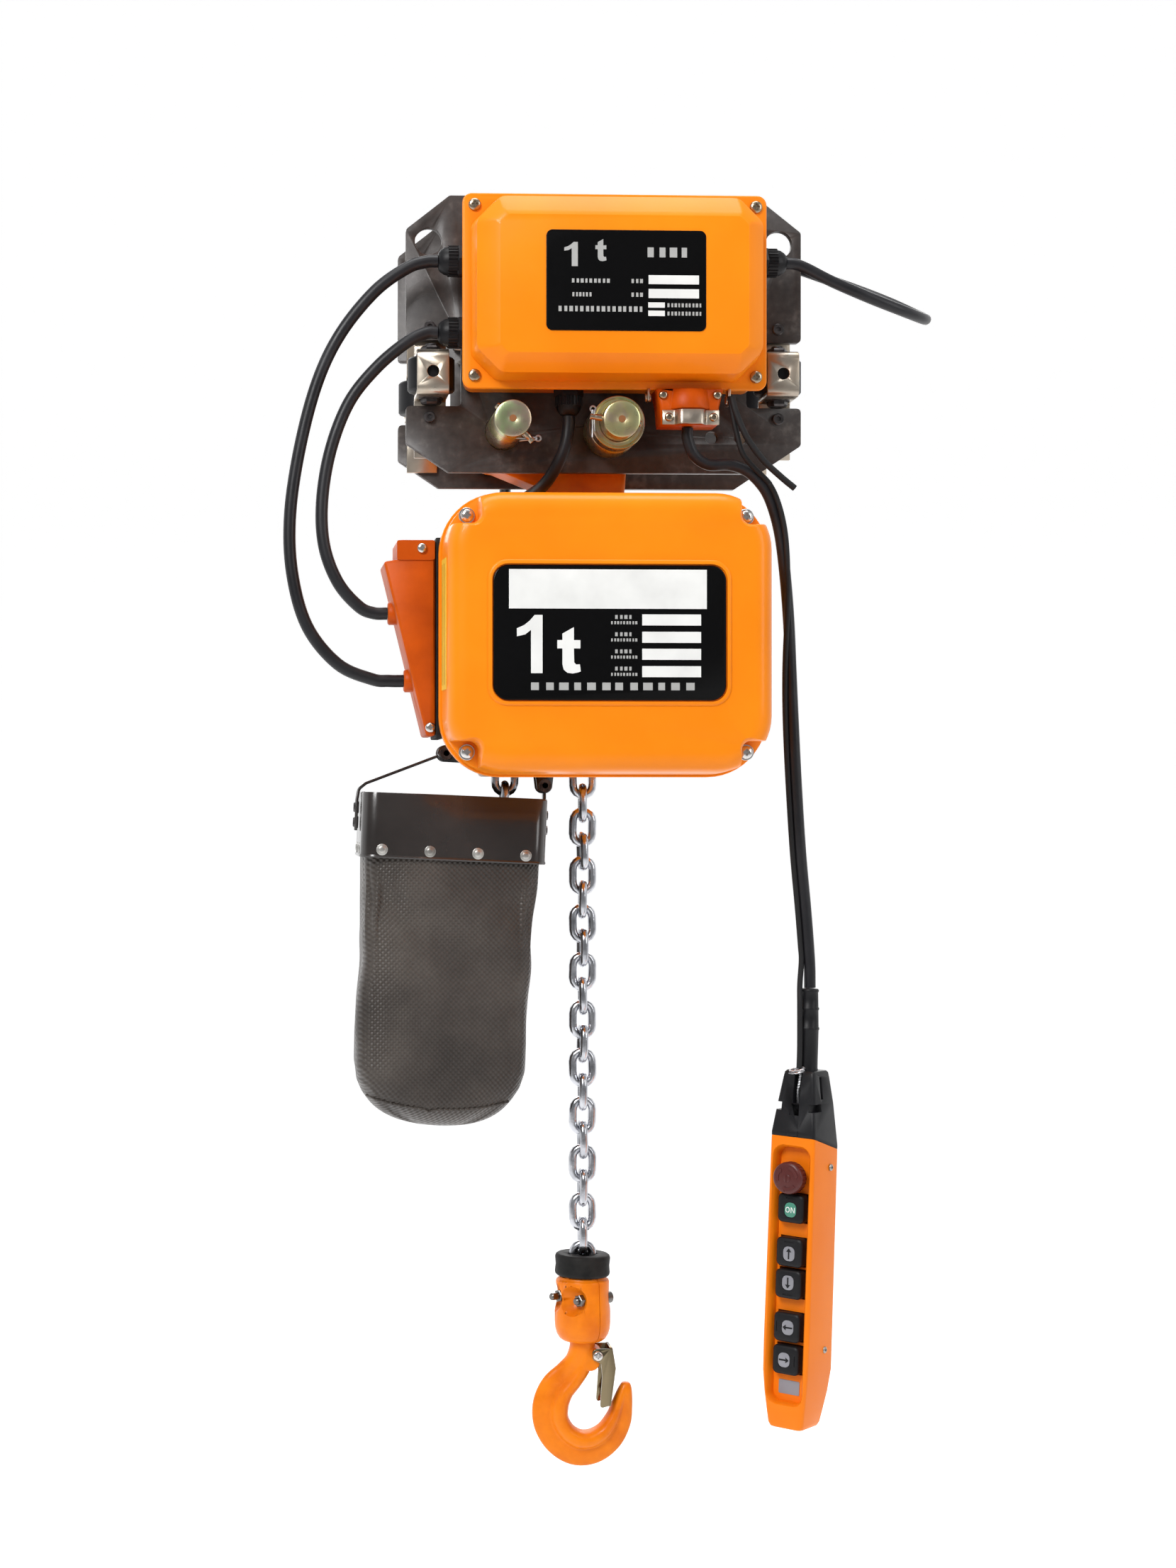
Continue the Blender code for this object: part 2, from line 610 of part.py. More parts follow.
def make_hanger_yoke(material):
    outline = [(-93.0, -84.0), (-51.0, -101.0), (-46.0, BODY_TOP + GAP), (22.0, BODY_TOP + GAP),
               (27.0, -58.0), (14.0, -36.0), (-96.0, -36.0), (-108.0, -58.0)]
    yoke = prism(outline, "Y", -22.0, 22.0)
    for x in SHAFT_X:
        union(yoke, cylinder("Y", (x, SHAFT_Z), 24.0, -47.0, 47.0, 24))
    cut(yoke, *[cylinder("Y", (x, SHAFT_Z), SHAFT_RADIUS + RUNNING_GAP, -60.0, 60.0, 24) for x in SHAFT_X])
    finish_part(yoke, "hanger_yoke", material)


def make_hoist_body(material):
    """Casting with the gear chamber in front, the sheave chamber in the middle and two chain channels."""
    def inset(distance):
        x = COVER_X[0] + distance, COVER_X[1] - distance
        z = COVER_Z[0] + distance, COVER_Z[1] - distance
        return rounded_rectangle(x, z, COVER_CORNER - distance, 5)

    body = prism(inset(-2.0), "Y", COVER_RIM_Y + GAP, -139.0)
    middle = [(-105.0, -345.0), (58.0, -345.0), (75.0, -328.0), (75.0, -140.0), (58.0, BODY_TOP),
              (-105.0, BODY_TOP), (-125.0, -144.0), (-125.0, -320.0)]
    union(body, prism(inset(4.0), "Y", -140.0, -60.0), prism(middle, "Y", -61.0, 60.0),
          cylinder("Y", (SHEAVE_X, AXIS_Z), 98.0, 59.0, MOTOR_Y[0] - GAP, 32),
          block((-142.0, -110.0), (-130.0, -66.0), (-320.0, -157.0)),
          block((-100.0, 8.0), (-28.0, 28.0), (BODY_BOTTOM, -335.0)))
    for y in (-8.0, 8.0):
        union(body, block((-143.0, -108.0), (y - 2.0, y + 2.0), (-339.0, -323.0)),
              block((-53.0, -36.0), (y - 2.0, y + 2.0), (-366.0, -345.0)))
    hub_bore = HUB_RADIUS + RUNNING_GAP
    shaft_bore = ROTOR_SHAFT_RADIUS + RUNNING_GAP
    channel = CHANNEL_HALF_WIDTH
    cut(body, prism(inset(10.0), "Y", COVER_RIM_Y - 1.0, -66.0),
        cylinder("Y", (SHEAVE_X, AXIS_Z), 47.0, -21.0, 21.0, 28),
        cylinder("Y", (SHEAVE_X, AXIS_Z), hub_bore, -70.0, 0.0, 24),
        cylinder("Y", (SHEAVE_X, AXIS_Z), shaft_bore, 0.0, 80.0, 20),
        cylinder("Y", (GEAR_SHAFT_X, AXIS_Z), 8.0 + RUNNING_GAP, -70.0, -45.0, 16),
        block((LOAD_X - channel, LOAD_X + channel), (-channel, channel), (BODY_BOTTOM - 5.0, -130.0)),
        block((SLACK_X - channel, SLACK_X + channel), (-channel, channel), (BODY_BOTTOM - 5.0, AXIS_Z)))
    finish_part(body, "hoist_body", material)


def make_front_cover(material):
    """Deep pressed cover, notched at its corners for its screws, with a bearing boss for each gear shaft."""
    def outline(distance):
        x = COVER_X[0] + distance, COVER_X[1] - distance
        z = COVER_Z[0] + distance, COVER_Z[1] - distance
        return rounded_rectangle(x, z, COVER_CORNER - distance, 5)

    def notches(margin, start, end):
        tools = []
        for screw_x, side in ((-127.0, -1), (99.5, 1)):
            for screw_z, up in ((-333.0, -1), (-142.5, 1)):
                x = sorted((screw_x - side * margin, screw_x + side * 60.0))
                z = sorted((screw_z - up * margin, screw_z + up * 60.0))
                tools.append(prism(rounded_rectangle(x, z, 7.0, 3), "Y", start, end))
        return tools

    face, rim = COVER_FACE_Y, COVER_RIM_Y
    cover = loft([(rim, outline(0.0)), (face + 16.0, outline(1.5)), (face + 5.0, outline(5.5)),
                  (face + 1.2, outline(10.0)), (face, outline(15.0))], "Y")
    cavity = loft([(rim + 1.0, outline(4.0)), (face + 18.0, outline(5.5)), (face + 4.5, outline(14.0))], "Y")
    cut(cavity, *notches(15.0, rim - 12.0, face - 1.0))
    cut(cover, cavity, *notches(11.5, rim - 15.0, face - 1.0))
    label = rounded_rectangle((-110.0, 78.0), (-293.5, -184.0), 13.0, 4)
    cut(cover, prism(label, "Y", face - 1.0, face + 1.5))
    for x in (SHEAVE_X, GEAR_SHAFT_X):
        union(cover, cylinder("Y", (x, AXIS_Z), 17.0, rim - 4.0, face + 4.0, 16))
    cut(cover, cylinder("Y", (SHEAVE_X, AXIS_Z), ROTOR_SHAFT_RADIUS + RUNNING_GAP, rim, -170.0, 16),
        cylinder("Y", (GEAR_SHAFT_X, AXIS_Z), 8.0 + RUNNING_GAP, rim, -170.0, 16))
    finish_part(cover, "front_cover", material)


def finned_outline(centre, outer, root, fins):
    outline = []
    step = 2.0 * math.pi / fins
    for fin in range(fins):
        for radius, share in ((root, -0.16), (outer, -0.12), (outer, 0.12), (root, 0.16)):
            angle = (fin + share) * step
            outline.append((centre[0] + radius * math.cos(angle), centre[1] + radius * math.sin(angle)))
    return outline


def make_motor(orange, black, steel):
    centre = (SHEAVE_X, AXIS_Z)
    start, end = MOTOR_Y
    housing = prism(finned_outline(centre, MOTOR_RADIUS, MOTOR_RADIUS - 9.0, 20), "Y", start + 12.0, end - 12.0)
    union(housing, cylinder("Y", centre, MOTOR_RADIUS + 2.0, start, start + 13.0, 28),
          cylinder("Y", centre, MOTOR_RADIUS, end - 13.0, end, 28))
    cut(housing, cylinder("Y", centre, 62.0, start - 1.0, end - 10.0, 20),
        cylinder("Y", centre, ROTOR_SHAFT_RADIUS + RUNNING_GAP, end - 12.0, end + 1.0, 16))
    finish_part(housing, "motor_housing", orange)

    cowl = turned("Y", centre, [(MOTOR_RADIUS + 1.0, end + GAP), (MOTOR_RADIUS + 1.0, end + 34.0),
                                (MOTOR_RADIUS - 7.0, end + 42.0)], 28)
    cut(cowl, turned("Y", centre, [(MOTOR_RADIUS - 2.0, end - 1.0), (MOTOR_RADIUS - 2.0, end + 33.0),
                                   (MOTOR_RADIUS - 9.5, end + 39.0)], 28))
    for offset in range(-2, 3):
        z = AXIS_Z + 25.0 * offset
        half = math.sqrt(70.0 ** 2 - (25.0 * offset) ** 2)
        cut(cowl, block((SHEAVE_X - half, SHEAVE_X + half), (end + 36.0, end + 45.0), (z - 6.0, z + 6.0)))
    finish_part(cowl, "fan_cover", black)

    rotor = prism(gear_outline(centre, PINION_TEETH, GEAR_MODULE, math.pi / PINION_TEETH), "Y", *FIRST_GEAR_Y)
    union(rotor, cylinder("Y", centre, ROTOR_SHAFT_RADIUS, -165.0, end + 28.0, 16),
          cylinder("Y", centre, 59.0, start + 20.0, end - 45.0, 20),
          cylinder("Y", centre, 74.0, end + 10.0, end + 13.0, 24))
    for blade in range(6):
        fin = block((18.0, 72.0), (end + 12.0, end + 27.0), (-1.2, 1.2))
        fin.data.transform(Matrix.Translation((SHEAVE_X, 0.0, AXIS_Z))
                           @ Matrix.Rotation(math.radians(60.0 * blade), 4, "Y"))
        union(rotor, fin)
    finish_part(rotor, "rotor", steel)
    set_origin(rotor, (SHEAVE_X, 100.0, AXIS_Z))


def make_gears(material):
    gear_centre, sheave_centre = (GEAR_SHAFT_X, AXIS_Z), (SHEAVE_X, AXIS_Z)
    gear = prism(gear_outline(gear_centre, GEAR_TEETH, GEAR_MODULE), "Y", *FIRST_GEAR_Y)
    half_tooth = math.pi / PINION_TEETH
    union(gear, prism(gear_outline(gear_centre, PINION_TEETH, GEAR_MODULE, half_tooth), "Y", *SECOND_GEAR_Y),
          cylinder("Y", gear_centre, 8.0, -165.0, -50.0, 16))
    finish_part(gear, "intermediate_gear", material)
    set_origin(gear, (GEAR_SHAFT_X, -100.0, AXIS_Z))

    sheave = prism(gear_outline(sheave_centre, GEAR_TEETH, GEAR_MODULE), "Y", *SECOND_GEAR_Y)
    union(sheave, cylinder("Y", sheave_centre, HUB_RADIUS, -112.0, -12.0, 18),
          cylinder("Y", sheave_centre, 45.0, -18.5, -13.7, 22), cylinder("Y", sheave_centre, 45.0, 13.7, 18.5, 22),
          cylinder("Y", sheave_centre, 20.3, -15.0, 15.0, 16))
    cut(sheave, cylinder("Y", sheave_centre, ROTOR_SHAFT_RADIUS + RUNNING_GAP, -120.0, 30.0, 16))
    finish_part(sheave, "load_sheave", material)
    set_origin(sheave, (SHEAVE_X, 0.0, AXIS_Z))


def make_plug_box(orange, rubber):
    gasket = block((-149.0, -142.0 - GAP), (-130.0, -66.0), (-320.0, -157.0))
    finish_part(gasket, "plug_gasket", rubber)
    edge = -149.0 - GAP
    outline = [(edge, -319.0), (-157.0, -319.0), (-192.0, -176.0), (-179.5, -174.0), (-179.5, -158.0),
               (edge, -158.0)]
    box = prism(outline, "Y", -128.0, -68.0)
    for x, z, radius in ((-187.0, -216.5, 9.5), (-173.7, -272.5, 9.5)):
        union(box, cylinder("X", (-98.0, z), radius, x, -155.0, 14))
    finish_part(box, "plug_box", orange)


def make_hoist(materials):
    make_hanger_yoke(materials["orange"])
    make_hoist_body(materials["orange"])
    make_front_cover(materials["orange"])
    make_motor(materials["orange"], materials["black"], materials["steel"])
    make_gears(materials["steel"])
    make_plug_box(materials["orange"], materials["rubber"])


# ---------------------------------------------------------------- chain and hook

def make_link(centre_z, turned_link, wire_radius):
    """Oval link in the XZ plane, or in the YZ plane when it is a turned one."""
    bm = bmesh.new()
    half_straight = 0.5 * (CHAIN_PITCH + 2.0 * WIRE_RADIUS - 2.0 * LINK_HALF_WIDTH)
    path = []
    for end in (1.0, -1.0):
        for angle in (0.0, 90.0, 180.0):
            turn = math.radians(angle) if end > 0 else math.radians(angle + 180.0)
            path.append((LINK_HALF_WIDTH * math.cos(turn), end * half_straight + LINK_HALF_WIDTH * math.sin(turn)))
    rings = []
    for index, (across, up) in enumerate(path):
        before, after = path[index - 1], path[(index + 1) % len(path)]
        direction = Vector((after[0] - before[0], after[1] - before[1])).normalized()
        ring_verts = []
        for side in range(4):
            angle = math.radians(90.0 * side)
            out = wire_radius * math.cos(angle)
            depth = wire_radius * math.sin(angle)
            flat = across + direction.y * out
            height = centre_z + up - direction.x * out
            point = (LOAD_X + depth, flat, height) if turned_link else (LOAD_X + flat, depth, height)
            ring_verts.append(bm.verts.new(point))
        rings.append(ring_verts)
    for index, lower in enumerate(rings):
        bridge(bm, lower, rings[(index + 1) % len(rings)])
    return solid(bm)


def make_load_chain(material):
    """Links a little thicker than the real wire, so that neighbours join into one solid."""
    first_z = CHAIN_TOP - 0.5 * CHAIN_PITCH
    links = [make_link(first_z - index * CHAIN_PITCH, index % 2 == 0, 1.12 * WIRE_RADIUS)
             for index in range(LINK_COUNT)]
    chain = union(links[0], *links[1:])
    finish_part(chain, "load_chain", material, smooth=False)


def make_block_half(name, screw_side, material):
    """Half of the cast hook block, on one side of the upright seam that its screws cross at right angles."""
    low, high = BLOCK_Z
    centre = (LOAD_X, 0.0)
    half = turned("Z", centre, [(14.0, low), (20.0, low + 2.5), (23.5, low + 8.0), (BLOCK_RADIUS, low + 16.0),
                                (BLOCK_RADIUS - 0.3, high - 3.0), (BLOCK_RADIUS - 2.5, high)], 24)
    cutter = block((-40.0, 40.0), (-60.0, 0.5 * GAP), (low - 10.0, high + 10.0))
    turn = Matrix.Rotation(math.radians(screw_side - 90.0), 4, "Z")
    cutter.data.transform(Matrix.Translation((LOAD_X, 0.0, 0.0)) @ turn)
    cut(half, turned("Z", centre, [(11.6, low - 1.0), (11.6, low + 6.0)], 20),
        turned("Z", centre, [(16.5, low + 5.0), (16.5, low + 20.0)], 20),
        turned("Z", centre, [(13.6, low + 26.0), (13.6, high + 1.0)], 20), cutter)
    finish_part(half, name, material)


def make_hook(material):
    """Forged hook: the throat opens at the upper right, under the safety latch."""
    x = LOAD_X
    stations = [(x, -842.0, 22.0, 22.0), (x - 0.5, -852.0, 22.0, 22.0), (x - 4.0, -864.0, 24.0, 22.0),
                (x - 12.5, -875.0, 27.0, 22.0), (x - 22.5, -886.0, 30.0, 22.5), (x - 28.0, -900.0, 31.5, 25.0),
                (x - 27.5, -915.0, 31.5, 25.0), (x - 19.5, -929.0, 31.5, 25.0), (x - 6.0, -937.5, 31.5, 25.0),
                (x + 9.0, -937.0, 30.0, 24.0), (x + 22.5, -928.5, 27.0, 22.0), (x + 31.0, -915.0, 23.5, 19.0),
                (x + 34.5, -902.0, 18.5, 16.0), (x + 37.0, -891.0, 12.0, 13.0), (x + 38.3, -883.0, 5.0, 7.0)]
    hook = swept(stations, 10)
    ear = hull_of_circles((*LATCH_PIVOT, 5.5), (x + 6.0, -861.0, 8.0), 16)
    union(hook, turned("Z", (x, 0.0), [(11.0, -846.0), (11.0, -836.0)], 20),
          turned("Z", (x, 0.0), [(15.5, -837.5), (15.5, -826.0)], 20),
          prism(ear, "Y", -10.5, 10.5),
          cylinder("Y", LATCH_PIVOT, 2.6, -14.5, 14.5, 12))
    finish_part(hook, "hook", material)
    set_origin(hook, (x, 0.0, -832.0))


def make_latch(material):
    """Folded sheet latch: two cheeks on the pin, joined by the web that closes the throat."""
    outer = [(13.9, -848.6), (16.8, -866.0), (12.5, -899.0)]
    web = outer + [(x - 2.0, z) for x, z in reversed(outer)]
    latch = prism(web, "Y", -13.5, 13.5)
    cheek = [(-3.5, -858.5), (-3.5, -851.0), (0.0, -849.2), (13.0, -849.2), (15.8, -866.0), (11.6, -898.4),
             (3.0, -901.0), (5.0, -873.0), (4.0, -862.0)]
    for side in (-1, 1):
        union(latch, prism(cheek, "Y", side * 11.5, side * 13.4))
    cut(latch, cylinder("Y", LATCH_PIVOT, 3.0, -20.0, 20.0, 12))
    finish_part(latch, "safety_latch", material)
    set_origin(latch, (LATCH_PIVOT[0], 0.0, LATCH_PIVOT[1]))


def make_load_side(materials):
    make_load_chain(materials["chain"])
    stopper = ring("Z", (LOAD_X, 0.0), 13.6, STOPPER_RADIUS, *STOPPER_Z, 24)
    finish_part(stopper, "chain_stopper", materials["rubber"])
    make_block_half("hook_block_front", BLOCK_SCREW_ANGLE + 180.0, materials["orange"])
    make_block_half("hook_block_rear", BLOCK_SCREW_ANGLE, materials["orange"])
    make_hook(materials["orange"])
    make_latch(materials["zinc"])


# ---------------------------------------------------------------- chain bag

def bag_matrix():
    return Matrix.Translation(BAG_TOP) @ Matrix.Rotation(math.radians(BAG_TILT), 4, "Y")


def make_bag_rim(material):
    low = -RIM_HEIGHT
    wall = 2.5
    rim = prism(rounded_rectangle((-RIM_HALF_LENGTH, RIM_HALF_LENGTH), (-RIM_HALF_DEPTH, RIM_HALF_DEPTH),
                                  14.0, 4), "Z", low, 0.0)
    inner = rounded_rectangle((wall - RIM_HALF_LENGTH, RIM_HALF_LENGTH - wall),
                              (wall - RIM_HALF_DEPTH, RIM_HALF_DEPTH - wall), 11.5, 4)
    cut(rim, prism(inner, "Z", low - 1.0, 1.0))
    rim.data.transform(bag_matrix())
    finish_part(rim, "bag_rim", material)


def make_chain_bag(material):
    """Open bag that hangs from inside the rim and rounds off at the bottom."""
    def section(depth, half_length, half_depth):
        corner = min(14.0, 0.6 * half_depth)
        return -depth, rounded_rectangle((-half_length, half_length), (-half_depth, half_depth), corner, 4)

    top = RIM_HALF_LENGTH - 2.9, RIM_HALF_DEPTH - 2.9
    rounding = [(226.0, 75.5, 48.5), (248.0, 70.0, 46.0), (264.0, 59.0, 40.0), (273.0, 44.0, 31.0),
                (BAG_DEPTH, 24.0, 16.0)]
    bag = loft([section(16.0, *top)] + [section(*ring_size) for ring_size in rounding], "Z")
    wall = 2.5
    inner = [section(10.0, top[0] - wall, top[1] - wall)]
    inner += [section(depth - wall, length - wall, width - wall) for depth, length, width in rounding]
    cut(bag, loft(inner, "Z"))
    bag.data.transform(bag_matrix())
    finish_part(bag, "chain_bag", material)


def make_strap(name, path, material):
    """Flat steel strap bent along a path in the XZ plane."""
    thickness, half_width = 2.5, 5.6
    left, right = [], []
    for index, point in enumerate(path):
        here = Vector(point)
        before, after = Vector(path[max(index - 1, 0)]), Vector(path[min(index + 1, len(path) - 1)])
        direction = (after - before).normalized()
        side = Vector((direction.y, -direction.x)) * (0.5 * thickness)
        left.append(tuple(here + side))
        right.append(tuple(here - side))
    finish_part(prism(left + right[::-1], "Y", -half_width, half_width), name, material)


def make_bag_parts(materials):
    make_bag_rim(materials["rim"])
    make_chain_bag(materials["fabric"])
    make_strap("bag_strap_left", [(-127.0, -329.5), (-137.0, -333.0), (-200.5, -357.0), (-206.6, -362.0),
                                  (-208.2, -371.0), (-209.4, -398.0)], materials["rim"])
    make_strap("bag_strap_right", [(-44.5, -353.0), (-44.4, -372.0), (-44.9, -400.0)], materials["rim"])


# ---------------------------------------------------------------- pendant

def pendant_matrix():
    lean = Matrix.Rotation(math.radians(PENDANT_LEAN), 4, "Y")
    turn = Matrix.Rotation(math.radians(PENDANT_TURN), 4, "Z")
    return Matrix.Translation(PENDANT_TOP) @ lean @ turn


def pendant_section(height, half_width, front, back, corner=4.0):
    return height, rounded_rectangle((-half_width, half_width), (-front, back), corner, 2)


def make_pendant_cap(material):
    low, high = PENDANT_CAP
    half_width, half_depth = 0.5 * PENDANT_WIDTH, 0.5 * PENDANT_DEPTH
    cap = loft([pendant_section(low, half_width, half_depth, half_depth),
                pendant_section(high + 3.0, 0.62 * half_width, 0.6 * half_depth, 0.55 * half_depth, 3.0),
                pendant_section(high, 0.5 * half_width, 0.5 * half_depth, 0.45 * half_depth, 3.0)], "Z")
    union(cap, turned("Z", (0.0, 0.0), [(8.6, high - 2.0), (8.2, -30.0), (7.6, -12.0), (7.4, 0.0)], 16))
    cap.data.transform(pendant_matrix())
    finish_part(cap, "pendant_cap", material)


def make_pendant_shell(material):
    """Hollow handset: the front is sunk round the buttons, which stand in holes in the sunken panel."""
    half_width, half_depth = 0.5 * PENDANT_WIDTH, 0.5 * PENDANT_DEPTH
    top = PENDANT_CAP[0] - GAP
    sections = [(top, 0.0, 0.0), (-290.0, 1.0, 0.5), (-318.0, 0.5, 2.0), (-350.0, -2.5, -4.0),
                (PENDANT_END, -4.5, -8.0)]
    def ring_at(height, wider, deeper, wall=0.0):
        return pendant_section(height, half_width + wider - wall, half_depth + 0.4 * deeper - wall,
                               half_depth + deeper - wall, 4.0 if wall == 0.0 else 2.5)
    shell = loft([ring_at(*section) for section in sections], "Z")
    panel_y = 10.0 - half_depth
    recess = rounded_rectangle((-15.6, 15.6), (-344.0, -131.0), 7.0, 3)
    cavity_sections = [(height if index else height + 5.0, wider, deeper, 2.8)
                       for index, (height, wider, deeper) in enumerate(sections[:4])]
    cavity = loft([ring_at(*section) for section in cavity_sections], "Z")
    cut(cavity, block((-30.0, 30.0), (-30.0, panel_y + 3.0), (-400.0, 0.0)))
    cut(shell, cavity, prism(recess, "Y", -40.0, panel_y))
    width, height = BUTTON_SIZE
    for centre in BUTTON_CENTRES.values():
        cut(shell, block((-0.5 * width - RUNNING_GAP, 0.5 * width + RUNNING_GAP), (-30.0, 0.0),
                         (centre - 0.5 * height - RUNNING_GAP, centre + 0.5 * height + RUNNING_GAP)))
    cut(shell, cylinder("Y", (0.0, STOP_CENTRE), 8.0 + RUNNING_GAP, -30.0, 0.0, 16))
    shell.data.transform(pendant_matrix())
    finish_part(shell, "pendant_shell", material)


def make_pendant_buttons(black, red):
    width, height = BUTTON_SIZE
    front = 0.8 - 0.5 * PENDANT_DEPTH
    for name, centre in BUTTON_CENTRES.items():
        outline = rounded_rectangle((-0.5 * width, 0.5 * width), (centre - 0.5 * height, centre + 0.5 * height),
                                    3.0, 2)
        button = prism(outline, "Y", front, -8.0)
        button.data.transform(pendant_matrix())
        finish_part(button, name, black)
    stop = turned("Y", (0.0, STOP_CENTRE), [(10.0, -30.0), (13.3, -28.0), (13.3, -21.0), (11.5, -18.5),
                                            (8.0, -18.0), (8.0, -8.0)], 16)
    stop.data.transform(pendant_matrix())
    finish_part(stop, "stop_button", red)


# ---------------------------------------------------------------- cables

def make_cable(name, route, diameter, material):
    points = [Vector(point) for point in route]
    path = smooth_path(points, 2.6 * diameter)
    path.insert(1, points[0] + (points[1] - points[0]).normalized() * 0.5 * diameter)
    path.insert(-1, points[-1] + (points[-2] - points[-1]).normalized() * 0.5 * diameter)
    curve = bpy.data.curves.new(name, "CURVE")
    curve.dimensions = "3D"
    curve.bevel_depth = 0.5 * diameter * MM
    curve.bevel_resolution = 2
    curve.use_fill_caps = True
    spline = curve.splines.new("POLY")
    spline.points.add(len(path) - 1)
    for point, place in zip(spline.points, path):
        point.co = (*(place * MM), 1.0)
    curve.materials.append(material)
    cable = bpy.data.objects.new(name, curve)
    bpy.context.scene.collection.objects.link(cable)


def make_supply_coil(material):
    """Outer shape of the wound supply lead, tied behind the rear plate."""
    x, y, z = SUPPLY_COIL
    coil = ring("Y", (x, z), SUPPLY_COIL_RADIUS - 10.0, SUPPLY_COIL_RADIUS + 10.0, y - 10.0, y + 10.0, 28)
    finish_part(coil, "supply_coil", material)


def make_cables(materials):
    rubber = materials["rubber"]
    make_cable("lead_long", LEAD_LONG_ROUTE, LEAD_DIAMETER, rubber)
    make_cable("lead_short", LEAD_SHORT_ROUTE, LEAD_DIAMETER, rubber)
    make_cable("travel_lead", TRAVEL_LEAD_ROUTE, TRAVEL_LEAD_DIAMETER, rubber)
    make_cable("supply_lead", SUPPLY_ROUTE, SUPPLY_DIAMETER, rubber)
    make_cable("pendant_cable", PENDANT_ROUTE, PENDANT_CABLE_DIAMETER, rubber)
    make_supply_coil(rubber)


def main():
    clear_scene()
    materials = make_materials()
    make_trolley(materials)
    make_control(materials)
    make_hoist(materials)
    make_load_side(materials)
    make_bag_parts(materials)
    make_pendant_cap(materials["black"])
    make_pendant_shell(materials["orange"])
    make_pendant_buttons(materials["black"], materials["red"])
    make_cables(materials)


main()
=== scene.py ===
"""Looks of an electric chain hoist on a motorised beam trolley: fine meshes, materials, cables, light, camera.

Lengths in the modelling functions are millimetres in the CAD model's frame: +X along the beam, +Y away from
the operator's side, +Z up. Every mesh is turned into metres when its piece is made.
"""
import json
import math

import bmesh
import bpy
from mathutils import Matrix, Vector, noise
from mathutils.bvhtree import BVHTree

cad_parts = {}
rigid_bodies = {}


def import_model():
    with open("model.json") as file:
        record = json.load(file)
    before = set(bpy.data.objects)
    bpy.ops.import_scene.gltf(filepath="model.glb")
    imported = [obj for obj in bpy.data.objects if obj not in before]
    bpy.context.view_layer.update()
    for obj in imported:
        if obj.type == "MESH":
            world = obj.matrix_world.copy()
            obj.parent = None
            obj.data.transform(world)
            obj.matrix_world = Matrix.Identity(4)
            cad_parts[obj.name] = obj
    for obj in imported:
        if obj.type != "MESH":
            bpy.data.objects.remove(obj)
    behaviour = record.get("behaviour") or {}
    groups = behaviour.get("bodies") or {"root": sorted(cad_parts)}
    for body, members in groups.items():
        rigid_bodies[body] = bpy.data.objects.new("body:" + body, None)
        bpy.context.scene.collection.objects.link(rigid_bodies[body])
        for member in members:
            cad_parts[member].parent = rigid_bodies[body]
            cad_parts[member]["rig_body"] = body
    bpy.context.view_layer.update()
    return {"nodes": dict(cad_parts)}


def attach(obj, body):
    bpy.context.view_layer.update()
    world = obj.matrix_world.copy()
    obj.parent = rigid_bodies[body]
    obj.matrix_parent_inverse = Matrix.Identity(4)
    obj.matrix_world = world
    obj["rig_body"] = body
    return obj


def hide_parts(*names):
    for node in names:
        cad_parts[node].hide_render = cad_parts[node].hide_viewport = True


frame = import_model()
MM = 0.001
NODES = frame["nodes"]

# Camera: its place, the turn of its axis and the lens of a view from about two metres
CAMERA_PLACE = (-0.3056, -2.15, -0.3713)
CAMERA_TURN = 2.5
CAMERA_LENS = 56.7
CAMERA_SHIFT = (0.150, 0.010)

LOAD_X = -10.6
SHEAVE_X = -44.0
AXIS_Z = -235.0
SHAFT_Z = -58.4
SHAFTS_X = (-86.0, 4.0)
SLACK_X = -77.4
WHEEL_Z = 38.0
WHEELS_X = (-75.0, 75.0)
TRAVEL_MOTOR_Z = 80.0
LEAD_DIAMETER = 10.5
CHAIN_PITCH = 21.0
WIRE_RADIUS = 3.55
LINK_HALF_WIDTH = 8.45
COVER_FACE_Y = -200.0
BOX_FRONT_Y = -148.0
BAG_TOP = Vector((-125.5, 0.0, -367.5))
BAG_TILT = 2.5
PENDANT_TOP = Vector((166.0, -105.0, -529.0))
PENDANT_TURN = -40.0
PENDANT_LEAN = 2.0
BUTTONS = {"on_button": -181.7, "up_button": -218.1, "down_button": -244.5, "left_button": -280.3,
           "right_button": -307.4}
STOP_CENTRE = -155.9
SUPPLY_COIL = Vector((122.0, 81.0, 72.0))
COVER_SCREWS = [(x, z) for x in (-127.0, 99.5) for z in (-333.0, -142.5)]
NUT_SIDE = 211.0
HEAD_SIDE = 31.0
BOLT_OFFSETS = (14.0, -14.0)
BLOCK_BOLT_Z = -806.0
LATCH_PIVOT = (1.2, -855.2)
KEY_HALF = 12.0
# Repeat of the bag's weave, in metres
WEAVE_PITCH = 0.0046
# Furthest that the bag's fabric may settle, in metres
SETTLE_LIMIT = 0.0035

